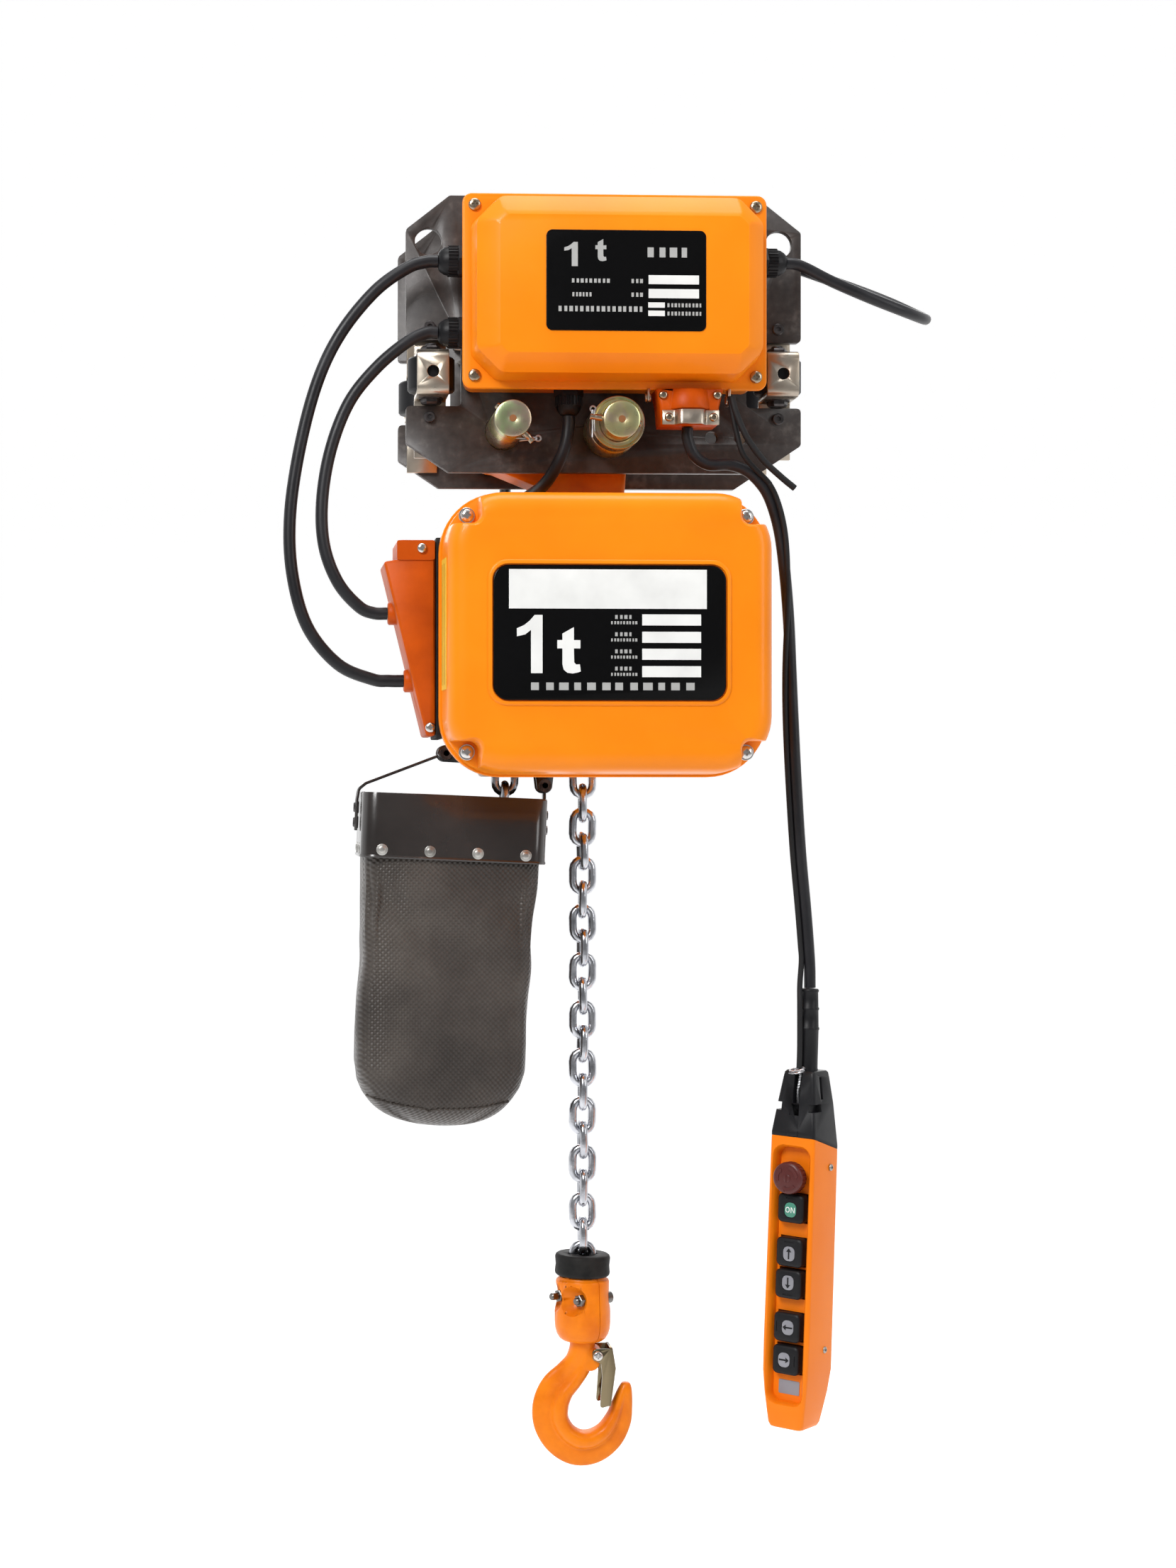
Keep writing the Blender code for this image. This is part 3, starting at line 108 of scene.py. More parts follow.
LEAD_LONG_ROUTE = [
    (-144.3, -85, 80), (-154, -85, 79.4), (-170, -85.5, 74), (-197, -87, 54), (-225.5, -88.5, 18.5),
    (-245, -90, -22), (-259.5, -92, -76), (-268, -94, -133), (-266.5, -96, -182), (-254, -97, -227),
    (-228.5, -98, -258.5), (-200, -98, -271), (-186, -98, -272.4), (-174.0, -98, -272.5)]
LEAD_SHORT_ROUTE = [
    (-144.5, -85, 20), (-154, -85.3, 19.6), (-171, -87.5, 11), (-196, -89, -10.5), (-219, -90, -40),
    (-234.5, -92, -80.5), (-241.5, -94, -124), (-239.5, -96, -161), (-228, -97, -191),
    (-211, -98, -210.5), (-199, -98, -216), (-187.4, -98, -216.5)]
TRAVEL_LEAD_ROUTE = [
    (-34, -85, -49.3), (-34.1, -85, -58), (-37, -84.5, -75), (-46, -80, -95), (-54, -68, -106),
    (-61, -40, -110), (-64, 0, -110.5), (-66, 50, -109), (-67, 92, -103), (-66, 118, -86),
    (-62, 131, -58), (-60, 134, -25), (-60, 134, 6)]
SUPPLY_ROUTE = [
    (150.3, -85, 81), (158, -85, 80.4), (168, -85, 76.8), (190, -84.5, 66), (222, -83, 53), (252, -75, 44),
    (274, -56, 41.5), (284, -30, 46), (281, 0, 57), (268, 26, 71), (248, 47, 85), (224, 63, 98),
    (198, 74, 110), (180, 79, 117)]
PENDANT_ROUTE = [
    (63, -105, -61.5), (63.3, -105, -71), (69, -105, -84.5), (81, -105, -92), (98, -105, -92),
    (113, -105, -97), (125, -105, -108), (133, -105, -122), (140, -105, -146), (144.5, -105, -178),
    (148, -105, -220), (150, -105, -265), (152, -105, -310), (154.5, -105, -360), (158, -105, -415),
    (162.5, -105, -465), (165.5, -105, -505), (166, -105, -528.4)]


# ---------------------------------------------------------------- materials

class Surface:
    """A Principled material with short helpers for procedural colour, roughness and bump."""

    def __init__(self, name, colour, roughness, metallic=0.0, **sockets):
        self.material = bpy.data.materials.new(name)
        self.material.use_nodes = True
        self.tree = self.material.node_tree
        self.shader = self.tree.nodes["Principled BSDF"]
        self.coords = self.tree.nodes.new("ShaderNodeTexCoord").outputs["Object"]
        self.shader.inputs["Base Color"].default_value = (*colour, 1.0)
        self.shader.inputs["Roughness"].default_value = roughness
        self.shader.inputs["Metallic"].default_value = metallic
        for socket, value in sockets.items():
            self.shader.inputs[socket.replace("_", " ")].default_value = value
        self.normal = None

    def link(self, output, target):
        self.tree.links.new(output, target)

    def noise(self, scale, detail=3.0, stretch=(1.0, 1.0, 1.0)):
        mapping = self.tree.nodes.new("ShaderNodeMapping")
        mapping.inputs["Scale"].default_value = stretch
        texture = self.tree.nodes.new("ShaderNodeTexNoise")
        texture.inputs["Scale"].default_value = scale
        texture.inputs["Detail"].default_value = detail
        self.link(self.coords, mapping.inputs["Vector"])
        self.link(mapping.outputs["Vector"], texture.inputs["Vector"])
        return texture.outputs["Fac"]

    def ramp(self, value, stops):
        node = self.tree.nodes.new("ShaderNodeValToRGB")
        ramp = node.color_ramp
        while len(ramp.elements) < len(stops):
            ramp.elements.new(0.5)
        for element, (place, colour) in zip(ramp.elements, stops):
            element.position = place
            element.color = (*colour, 1.0)
        self.link(value, node.inputs["Fac"])
        return node.outputs["Color"]

    def span(self, value, low, high):
        node = self.tree.nodes.new("ShaderNodeMapRange")
        node.inputs["To Min"].default_value = low
        node.inputs["To Max"].default_value = high
        self.link(value, node.inputs["Value"])
        return node.outputs["Result"]

    def maths(self, operation, first, second):
        node = self.tree.nodes.new("ShaderNodeMath")
        node.operation = operation
        for index, value in enumerate((first, second)):
            if isinstance(value, float):
                node.inputs[index].default_value = value
            else:
                self.link(value, node.inputs[index])
        return node.outputs["Value"]

    def colour(self, value, stops):
        self.link(self.ramp(value, stops), self.shader.inputs["Base Color"])
        return self

    def rough(self, value, low, high):
        self.link(self.span(value, low, high), self.shader.inputs["Roughness"])
        return self

    def bump(self, value, depth, strength=1.0):
        """Depth is in metres."""
        node = self.tree.nodes.new("ShaderNodeBump")
        node.inputs["Strength"].default_value = strength
        node.inputs["Distance"].default_value = depth
        self.link(value, node.inputs["Height"])
        if self.normal is not None:
            self.link(self.normal, node.inputs["Normal"])
        self.normal = node.outputs["Normal"]
        self.link(self.normal, self.shader.inputs["Normal"])
        return self


def drifting(name, base, roughness, tone, sheen, bumps, metallic=0.0, **sockets):
    """A surface that varies from place to place.

    Tone is the noise's scale and detail with its colour stops, sheen is the same with the lowest and highest
    roughness, and each bump is the same with its depth and strength.
    """
    surface = Surface(name, base, roughness, metallic, **sockets)
    surface.colour(surface.noise(*tone[:2]), tone[2])
    surface.rough(surface.noise(*sheen[:2]), *sheen[2:])
    for scale, detail, *relief in bumps:
        surface.bump(surface.noise(scale, detail), *relief)
    return surface


def plate_paint():
    """Dark brown-grey satin paint with dust, scuffs and a fine grit."""
    paint = Surface("plate_paint", (0.045, 0.036, 0.033), 0.42, Coat_Weight=0.15, Coat_Roughness=0.2,
                    Specular_IOR_Level=0.4)
    blend = paint.maths("MULTIPLY", paint.noise(14.0, 6.0), paint.noise(120.0, 6.0))
    paint.colour(blend, [(0.12, (0.026, 0.021, 0.019)), (0.3, (0.05, 0.041, 0.038)),
                         (0.42, (0.10, 0.088, 0.08))])
    paint.rough(paint.noise(70.0, 5.0), 0.32, 0.6)
    return paint.bump(paint.noise(900.0, 2.0), 0.00006).bump(paint.noise(30.0, 4.0), 0.0003, 0.4)


def worn_edge():
    """Cut steel showing through chipped paint along an edge."""
    edge = Surface("worn_edge", (0.3, 0.28, 0.26), 0.4, 0.6)
    chips = edge.noise(260.0, 6.0)
    edge.colour(chips, [(0.42, (0.06, 0.05, 0.047)), (0.52, (0.22, 0.2, 0.185)), (0.62, (0.62, 0.58, 0.53))])
    return edge.rough(edge.noise(150.0, 3.0), 0.25, 0.55).bump(chips, 0.0002, 0.6)


def yellow_zinc():
    """Yellow passivate over zinc: gold with pink and green patches and light scratches."""
    zinc = Surface("yellow_zinc", (0.52, 0.48, 0.27), 0.28, 0.95)
    zinc.colour(zinc.noise(34.0, 5.0), [(0.32, (0.46, 0.50, 0.28)), (0.45, (0.58, 0.52, 0.26)),
                                        (0.56, (0.50, 0.38, 0.30)), (0.68, (0.44, 0.52, 0.28))])
    zinc.rough(zinc.noise(110.0, 5.0), 0.18, 0.42)
    return zinc.bump(zinc.noise(500.0, 2.0, (1.0, 1.0, 0.1)), 0.00006).bump(zinc.noise(260.0, 4.0), 0.00008, 0.6)


def bag_fabric():
    """Coated weave: a grid of small pillows whose gaps are painted darker as shade, and a plastic sheen broken
    by soft grime.
    """
    cloth = Surface("bag_fabric", (0.055, 0.045, 0.038), 0.36, Specular_IOR_Level=0.38)
    cycle = 2.0 * math.pi / WEAVE_PITCH
    split = cloth.tree.nodes.new("ShaderNodeSeparateXYZ")
    cloth.link(cloth.coords, split.inputs["Vector"])
    sideways = cloth.maths("ADD", split.outputs["X"], cloth.maths("MULTIPLY", split.outputs["Y"], 0.35))
    waves = []
    for source in (sideways, split.outputs["Z"]):
        waves.append(cloth.maths("SINE", cloth.maths("MULTIPLY", source, cycle), 0.0))
    pillows = cloth.maths("MULTIPLY", waves[0], waves[1])
    cloth.bump(pillows, 0.0004, 1.0).bump(cloth.noise(22.0, 3.0), 0.0016, 0.6)
    # Colour: a random tone, plus painted shade that darkens the gaps between the pillows.
    tone = cloth.maths("ADD", cloth.noise(16.0, 5.0), cloth.maths("MULTIPLY", pillows, 0.1))
    cloth.colour(tone, [(0.25, (0.022, 0.017, 0.014)), (0.5, (0.047, 0.038, 0.032)),
                        (0.8, (0.088, 0.075, 0.064))])
    grime = cloth.maths("ADD", cloth.noise(40.0, 4.0), cloth.maths("MULTIPLY", pillows, -0.2))
    return cloth.rough(grime, 0.24, 0.5)


def plain(name, colour, roughness, metallic=0.0, **sockets):
    """A single-coloured moulded or printed surface with slight drift and grain."""
    darker = tuple(0.86 * channel for channel in colour)
    return drifting(name, colour, roughness, (30.0, 3.0, [(0.3, darker), (0.7, colour)]),
                    (90.0, 2.0, 0.9 * roughness, min(1.0, 1.12 * roughness)), [(400.0, 2.0, 0.00002)],
                    metallic, **sockets)


def make_paints():
    """Stoved gloss on the covers, thick paint on rough forgings, redder paint on sockets with painted shade in
    its darker colour, and the bag's rim.
    """
    return {
        "orange": drifting("orange_paint", (0.90, 0.24, 0.003), 0.34,
                           (9.0, 4.0, [(0.35, (0.85, 0.222, 0.002)), (0.65, (0.93, 0.255, 0.004))]),
                           (60.0, 3.0, 0.28, 0.4), [(420.0, 1.0, 0.00004), (35.0, 2.0, 0.0002, 0.5)],
                           Coat_Weight=0.12, Coat_Roughness=0.06, Specular_IOR_Level=0.2),
        "cast": drifting("cast_orange", (0.86, 0.2, 0.003), 0.3,
                         (45.0, 5.0, [(0.3, (0.72, 0.15, 0.002)), (0.62, (0.88, 0.225, 0.004))]),
                         (90.0, 3.0, 0.26, 0.46), [(160.0, 4.0, 0.0005, 0.8), (45.0, 3.0, 0.0012, 0.6)],
                         Coat_Weight=0.06, Coat_Roughness=0.1, Specular_IOR_Level=0.2),
        # Sockets: a redder orange paint, and its colour is also painted darker as shade where these faces are
        # dimly lit.
        "red_shaded": drifting("red_orange_shaded", (0.5, 0.075, 0.002), 0.4,
                         (30.0, 4.0, [(0.3, (0.43, 0.06, 0.001)), (0.65, (0.56, 0.085, 0.002))]),
                         (80.0, 3.0, 0.32, 0.48), [(220.0, 3.0, 0.0002, 0.6)], Specular_IOR_Level=0.15),
        "rim": drifting("rim_paint", (0.02, 0.015, 0.014), 0.22,
                        (18.0, 4.0, [(0.3, (0.014, 0.011, 0.010)), (0.7, (0.03, 0.024, 0.022))]),
                        (80.0, 3.0, 0.16, 0.3), [(180.0, 2.0, 0.00008)], Coat_Weight=0.5, Coat_Roughness=0.08),
    }


def make_plastics():
    """Orange and black mouldings, cable jackets and soft rubber."""
    return {
        "shell": drifting("orange_plastic", (0.9, 0.21, 0.003), 0.4,
                          (12.0, 3.0, [(0.3, (0.86, 0.19, 0.002)), (0.7, (0.92, 0.222, 0.004))]),
                          (40.0, 2.0, 0.33, 0.45), [(2200.0, 1.0, 0.00002)], Specular_IOR_Level=0.2),
        "black": drifting("black_plastic", (0.007, 0.007, 0.008), 0.4,
                          (20.0, 3.0, [(0.3, (0.005, 0.005, 0.006)), (0.7, (0.011, 0.011, 0.013))]),
                          (80.0, 3.0, 0.34, 0.5), [(1500.0, 1.0, 0.00004)], Specular_IOR_Level=0.24),
        "rubber": drifting("black_rubber", (0.009, 0.009, 0.011), 0.4,
                           (25.0, 4.0, [(0.3, (0.006, 0.006, 0.008)), (0.7, (0.018, 0.018, 0.021))]),
                           (60.0, 4.0, 0.3, 0.5), [(260.0, 3.0, 0.0001, 0.5)], Specular_IOR_Level=0.35),
        "stopper": drifting("stopper_rubber", (0.009, 0.009, 0.009), 0.6,
                            (90.0, 5.0, [(0.35, (0.006, 0.006, 0.006)), (0.7, (0.017, 0.016, 0.015))]),
                            (120.0, 4.0, 0.5, 0.75), [(500.0, 3.0, 0.00012)], Specular_IOR_Level=0.2),
    }


def make_metals():
    """Browner zinc on the bent brackets, bright zinc on the chain, and bare steels."""
    return {
        "bracket": drifting("dull_zinc", (0.46, 0.4, 0.33), 0.3,
                            (30.0, 5.0, [(0.3, (0.38, 0.33, 0.28)), (0.5, (0.52, 0.46, 0.38)),
                                         (0.7, (0.46, 0.37, 0.28))]),
                            (120.0, 5.0, 0.2, 0.44), [(300.0, 3.0, 0.00008, 0.7)], 0.95),
        "chain": drifting("bright_zinc", (0.55, 0.56, 0.6), 0.2,
                          (90.0, 4.0, [(0.3, (0.34, 0.35, 0.38)), (0.6, (0.62, 0.63, 0.67))]),
                          (220.0, 4.0, 0.1, 0.3), [(420.0, 3.0, 0.00012, 0.7)], 1.0),
        "steel": drifting("machined_steel", (0.5, 0.49, 0.47), 0.32,
                          (50.0, 4.0, [(0.3, (0.36, 0.35, 0.33)), (0.65, (0.6, 0.59, 0.56))]),
                          (130.0, 3.0, 0.22, 0.45), [(800.0, 1.0, 0.00004)], 1.0),
        "dark_steel": drifting("dark_steel", (0.07, 0.065, 0.065), 0.38,
                               (160.0, 4.0, [(0.3, (0.035, 0.033, 0.035)), (0.7, (0.12, 0.11, 0.11))]),
                               (220.0, 3.0, 0.28, 0.5), [(600.0, 2.0, 0.00006)], 0.8),
    }


def make_materials():
    surfaces = make_paints() | make_plastics() | make_metals() | {
        "plate": plate_paint(), "worn": worn_edge(), "zinc": yellow_zinc(), "fabric": bag_fabric(),
        "white": plain("label_white", (0.84, 0.84, 0.82), 0.35),
        "print": plain("label_print", (0.42, 0.42, 0.41), 0.4),
        "label": plain("label_black", (0.0012, 0.0012, 0.0015), 0.12, Specular_IOR_Level=0.22),
        "stop": plain("stop_plastic", (0.09, 0.016, 0.014), 0.34, Specular_IOR_Level=0.4),
        "insert": plain("button_grey", (0.27, 0.27, 0.3), 0.35),
        "green": plain("button_green", (0.06, 0.26, 0.18), 0.4),
        "bolt": plain("bolt_steel", (0.2, 0.19, 0.18), 0.3, 1.0),
        "latch": plain("latch_bronze", (0.25, 0.2, 0.12), 0.2, 1.0),
        "yellow": plain("strip_yellow", (0.85, 0.55, 0.05), 0.4),
        "copper": plain("copper", (0.75, 0.32, 0.14), 0.35, 1.0),
        "chrome": plain("screw_chrome", (0.72, 0.7, 0.68), 0.2, 1.0),
        "bronze": plain("screw_bronze", (0.42, 0.34, 0.25), 0.26, 1.0),
        "wire": plain("steel_wire", (0.5, 0.5, 0.52), 0.35, 1.0),
        "cord": plain("strain_cord", (0.010, 0.010, 0.011), 0.6, Specular_IOR_Level=0.3),
    }
    return {name: surface.material for name, surface in surfaces.items()}


M = make_materials()


# ---------------------------------------------------------------- mesh building

def solid(bm):
    bmesh.ops.recalc_face_normals(bm, faces=bm.faces)
    mesh = bpy.data.meshes.new("solid")
    bm.to_mesh(mesh)
    bm.free()
    item = bpy.data.objects.new("solid", mesh)
    bpy.context.scene.collection.objects.link(item)
    return item


def bake(item):
    """Apply an object's modifiers."""
    evaluated = item.evaluated_get(bpy.context.evaluated_depsgraph_get())
    mesh = bpy.data.meshes.new_from_object(evaluated)
    item.modifiers.clear()
    item.data = mesh
    return item


def combine(base, tools, operation):
    for tool in tools:
        modifier = base.modifiers.new("combine", "BOOLEAN")
        modifier.operation = operation
        modifier.solver = "EXACT"
        modifier.object = tool
    bake(base)
    for tool in tools:
        bpy.data.objects.remove(tool, do_unlink=True)
    return base


def union(base, *tools):
    return combine(base, tools, "UNION")


def cut(base, *tools):
    return combine(base, tools, "DIFFERENCE")


def joined(items):
    """Several loose solids as one object."""
    bm = bmesh.new()
    for item in items:
        bm.from_mesh(item.data)
        bpy.data.objects.remove(item, do_unlink=True)
    return solid(bm)


def bevelled(item, width, segments=3, angle=30.0, edge_slot=-1):
    """Round the sharp edges; the new faces can take the material of another slot."""
    modifier = item.modifiers.new("edges", "BEVEL")
    modifier.width = width
    modifier.segments = segments
    modifier.limit_method = "ANGLE"
    modifier.angle_limit = math.radians(angle)
    modifier.use_clamp_overlap = True
    modifier.harden_normals = True
    modifier.material = edge_slot
    item.data.shade_smooth()
    return bake(item)


def placed(point, axis):
    u, v, along = point
    return {"X": (along, u, v), "Y": (u, along, v), "Z": (u, v, along)}[axis]


def loft(sections, axis):
    """Join outlines with the same number of points, each at its place along the axis."""
    bm = bmesh.new()
    rings = [[bm.verts.new(placed((u, v, along), axis)) for u, v in outline] for along, outline in sections]
    return capped(bm, rings)


def bridge(bm, lower, upper):
    count = len(lower)
    for index in range(count):
        following = (index + 1) % count
        bm.faces.new((lower[index], lower[following], upper[following], upper[index]))


def prism(outline, axis, start, end):
    return loft([(start, outline), (end, outline)], axis)


def block(x, y, z):
    return prism([(x[0], z[0]), (x[1], z[0]), (x[1], z[1]), (x[0], z[1])], "Y", y[0], y[1])


def circle(centre, radius, segments, turn=0.0):
    step = 2.0 * math.pi / segments
    return [(centre[0] + radius * math.cos(turn + index * step),
             centre[1] + radius * math.sin(turn + index * step)) for index in range(segments)]


def turned(axis, centre, profile, segments=40, turn=0.0):
    """Revolve a profile of (radius, place along the axis)."""
    return loft([(along, circle(centre, radius, segments, turn)) for radius, along in profile], axis)


def cylinder(axis, centre, radius, start, end, segments=40, chamfer=0.0):
    """A round bar, with its ends chamfered if asked."""
    if chamfer == 0.0:
        return prism(circle(centre, radius, segments), axis, start, end)
    step = chamfer if end > start else -chamfer
    return turned(axis, centre, [(radius - chamfer, start), (radius, start + step), (radius, end - step),
                                 (radius - chamfer, end)], segments)


def rounded(corners, radius, steps=6):
    """Replace each corner of a polygon by an arc."""
    outline = []
    count = len(corners)
    for index, corner in enumerate(corners):
        here = Vector(corner)
        before, after = Vector(corners[index - 1]), Vector(corners[(index + 1) % count])
        inward, outward = (before - here), (after - here)
        half = 0.5 * inward.angle(outward)
        reach = min(radius / math.tan(half), 0.49 * inward.length, 0.49 * outward.length)
        start, end = here + inward.normalized() * reach, here + outward.normalized() * reach
        for step in range(steps + 1):
            t = step / steps
            outline.append(tuple(start * (1 - t) ** 2 + here * 2 * t * (1 - t) + end * t ** 2))
    return outline


def rectangle(x, z):
    return [(x[1], z[0]), (x[1], z[1]), (x[0], z[1]), (x[0], z[0])]


def rounded_rectangle(x, z, radius, steps=8):
    """Rectangle with true quarter-circle corners."""
    outline = []
    centres = [(x[1] - radius, z[0] + radius, -90.0), (x[1] - radius, z[1] - radius, 0.0),
               (x[0] + radius, z[1] - radius, 90.0), (x[0] + radius, z[0] + radius, 180.0)]
    for centre_x, centre_z, first in centres:
        for step in range(steps + 1):
            angle = math.radians(first + 90.0 * step / steps)
            outline.append((centre_x + radius * math.cos(angle), centre_z + radius * math.sin(angle)))
    return outline


def curve_through(points, per_span=10):
    """Catmull-Rom points through the given ones."""
    points = [Vector(point) for point in points]
    padded = [2 * points[0] - points[1], *points, 2 * points[-1] - points[-2]]
    dense = []
    for index in range(1, len(padded) - 2):
        a, b, c, d = padded[index - 1:index + 3]
        for step in range(per_span):
            t = step / per_span
            dense.append(0.5 * (2 * b + (c - a) * t + (2 * a - 5 * b + 4 * c - d) * t * t
                                + (3 * b - a - 3 * c + d) * t ** 3))
    return dense + [points[-1]]


def tube(name, points, diameter, material):
    """A round cord or wire as one open spline in metres."""
    path = curve_through(points, 8)
    data = bpy.data.curves.new(name, "CURVE")
    data.dimensions = "3D"
    data.bevel_depth = 0.5 * diameter * MM
    data.bevel_resolution = 5
    data.use_fill_caps = True
    spline = data.splines.new("POLY")
    spline.points.add(len(path) - 1)
    for point, place in zip(spline.points, path):
        point.co = (*(place * MM), 1.0)
    spline.use_smooth = True
    data.materials.append(material)
    item = bpy.data.objects.new(name, data)
    bpy.context.scene.collection.objects.link(item)
    return item


def spin(degrees, axis):
    return Matrix.Rotation(math.radians(degrees), 4, axis)


def moved(item, matrix):
    item.data.transform(matrix)
    return item


def piece(item, name, material, body="frame", stands_for=(), edges=None, angle=35.0):
    """Turn a built solid into a finished piece that rides on a body."""
    item.data.transform(Matrix.Scale(MM, 4))
    item.name = name
    item.data.name = name
    item.data.materials.clear()
    item.data.materials.append(material)
    if edges is not None:
        item.data.materials.append(edges)
    item.data.shade_smooth()
    item.data.set_sharp_from_angle(angle=math.radians(angle))
    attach(item, body)
    if stands_for:
        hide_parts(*stands_for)
    return item


def remeshed(item, voxel, smoothing=4):
    """Blend a solid's parts into one cast-looking skin."""
    modifier = item.modifiers.new("skin", "REMESH")
    modifier.mode = "VOXEL"
    modifier.voxel_size = voxel
    smooth = item.modifiers.new("smooth", "SMOOTH")
    smooth.factor = 0.6
    smooth.iterations = smoothing
    return bake(item)


# ---------------------------------------------------------------- fasteners

def facing(axis, place, sign):
    """Turn a piece built along +Z to face along the signed axis at a place."""
    direction = {"X": Vector((sign, 0, 0)), "Y": Vector((0, sign, 0)), "Z": Vector((0, 0, sign))}[axis]
    return Matrix.Translation(Vector(place)) @ direction.to_track_quat("Z", "X").to_matrix().to_4x4()


def cross_screw(radius, height):
    """Pan-head screw with a cross recess, standing on z = 0."""
    profile = [(radius, 0.0), (radius, 0.35 * height), (0.93 * radius, 0.65 * height),
               (0.75 * radius, 0.88 * height), (0.4 * radius, 0.98 * height), (0.05 * radius, height)]
    head = turned("Z", (0.0, 0.0), profile, 32)
    arm, width = 0.52 * radius, 0.16 * radius
    slots = [block((-arm, arm), (-width, width), (0.35 * height, 1.2 * height)),
             block((-width, width), (-arm, arm), (0.36 * height, 1.21 * height))]
    return cut(head, *slots)


def hex_head(radius, height):
    head = turned("Z", (0.0, 0.0), [(radius, 0.0), (radius, 0.8 * height), (0.86 * radius, height)], 6)
    washer = cylinder("Z", (0.0, 0.0), 1.28 * radius, -0.6, 0.9, 32, 0.3)
    return joined([head, washer])


def socket_head(radius, height):
    head = cylinder("Z", (0.0, 0.0), radius, 0.0, height, 32, 0.12 * radius)
    return cut(head, prism(circle((0.0, 0.0), 0.5 * radius, 6), "Z", 0.45 * height, height + 1.0))


def set_fasteners(name, maker, places, material, body="frame", matrix=None):
    """A group of like fasteners: places are (axis, point, sign)."""
    items = []
    for axis, point, sign in places:
        item = maker()
        item.data.transform(facing(axis, point, sign))
        if matrix is not None:
            item.data.transform(matrix)
        items.append(item)
    return piece(joined(items), name, material, body)


# ---------------------------------------------------------------- trolley

def plate_outline():
    right = [(133.0, -93.0), (169.0, -69.0), (169.0, -37.0), (122.0, -37.0), (122.0, 19.0), (169.0, 19.0),
             (169.0, 113.0), (132.0, 142.0)]
    return rounded(right + [(-x, z) for x, z in reversed(right)], 4.0, 4)


def make_side_plate(side):
    """Flame-cut plate with its axles riveted in; side is -1 in front and 1 behind."""
    name = "side_plate_front" if side < 0 else "side_plate_rear"
    plate = prism(plate_outline(), "Y", side * 50.0, side * 58.0)
    through = -100.0, 100.0
    tools = [cylinder("Y", (x, SHAFT_Z), 15.9, *through, 64) for x in SHAFTS_X]
    tools += [cylinder("Y", (x, 103.0), 11.5, *through, 48) for x in (-150.0, 150.0)]
    if side > 0:
        tools.append(cylinder("Y", (0.0, WHEEL_Z), 12.4, *through, 48))
    else:
        tools += [cylinder("Y", (x, -62.5), 5.5, *through, 32) for x in (92.0, 117.0)]
    cut(plate, *tools)
    plate.data.materials.append(M["plate"])
    plate.data.materials.append(M["worn"])
    bevelled(plate, 0.8, 2, 35.0, 1)
    slots = [polygon.material_index for polygon in plate.data.polygons]
    piece(plate, "steel_" + name, M["plate"], "frame", (name,), M["worn"])
    plate.data.polygons.foreach_set("material_index", slots)

    axles = []
    for x in WHEELS_X:
        axles.append(turned("Y", (x, WHEEL_Z), [(9.5, side * 13.0), (10.0, side * 14.0),
                                                (10.0, side * 54.0)], 40))
        axles.append(turned("Y", (x, WHEEL_Z), [(13.9, side * 57.9), (13.9, side * 60.2), (12.6, side * 61.4),
                                             (6.0, side * 61.5), (5.0, side * 60.9)], 40))
    piece(joined(axles), "axles_" + name, M["steel"])
    outside = side * 58.0
    places = [("Y", (x, outside, z), side) for x in (-149.0, 149.0) for z in (30.0, -46.5)]
    set_fasteners("bolts_" + name, lambda: socket_head(4.8, 3.4), places, M["dark_steel"])


def make_wheels():
    """Turned wheels: a crowned tread, a flange with teeth on the driven pair, and a dished inner face."""
    for side, place in ((-1, "front"), (1, "rear")):
        for x, end in zip(WHEELS_X, ("left", "right")):
            name = f"wheel_{place}_{end}"
            inner, outer = side * 14.0, side * 48.5
            profile = [(35.8, inner), (37.2, inner + 0.5 * side), (38.0, inner + 1.8 * side),
                       (38.0, side * 40.0), (38.6, side * 41.2), (39.4, side * 41.5)]
            if side < 0:
                profile += [(44.5, side * 41.5), (46.0, side * 42.5), (46.0, side * 47.3), (44.8, outer)]
            wheel = turned("Y", (x, WHEEL_Z), profile, 72)
            if side > 0:
                turn = 0.0 if x > 0 else math.pi / 20
                teeth = prism(gear_outline((x, WHEEL_Z), 20, 150.0 / 35.0, turn), "Y", side * 41.5, outer)
                union(wheel, bevelled(teeth, 0.5, 1, 50.0))
            dish = turned("Y", (x, WHEEL_Z), [(26.0, inner - side), (25.0, inner + 3.0 * side),
                                           (17.0, inner + 3.0 * side), (16.0, inner - side)], 48)
            cut(wheel, cylinder("Y", (x, WHEEL_Z), 10.4, -60.0, 60.0, 48), dish)
            piece(wheel, "turned_" + name, M["steel"], NODES[name]["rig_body"], (name,))


def gear_outline(centre, teeth, module, turn=0.0):
    """Teeth with curved flanks inside the model's tooth space."""
    pitch_radius = 0.5 * teeth * module
    step = 2.0 * math.pi / teeth
    root, tip = pitch_radius - 1.05 * module, pitch_radius + 0.72 * module
    flank = [(0.0, 0.285), (0.3, 0.235), (0.55, 0.19), (0.8, 0.14), (1.0, 0.095)]
    outline = []
    for tooth in range(teeth):
        middle = turn + tooth * step
        stations = [(share, -offset) for share, offset in flank] + flank[::-1]
        for share, offset in stations:
            radius = root + (tip - root) * share
            angle = middle + offset * step
            outline.append((centre[0] + radius * math.cos(angle), centre[1] + radius * math.sin(angle)))
    return outline


def make_drive_pinion():
    gear = prism(gear_outline((0.0, WHEEL_Z), 15, 150.0 / 35.0, math.pi / 15), "Y", 41.5, 48.5)
    bevelled(gear, 0.5, 1, 50.0)
    union(gear, turned("Y", (0.0, WHEEL_Z), [(10.8, 40.4), (12.0, 41.6), (12.0, 85.0)], 48))
    piece(gear, "cut_drive_pinion", M["steel"], NODES["drive_pinion"]["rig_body"], ("drive_pinion",))


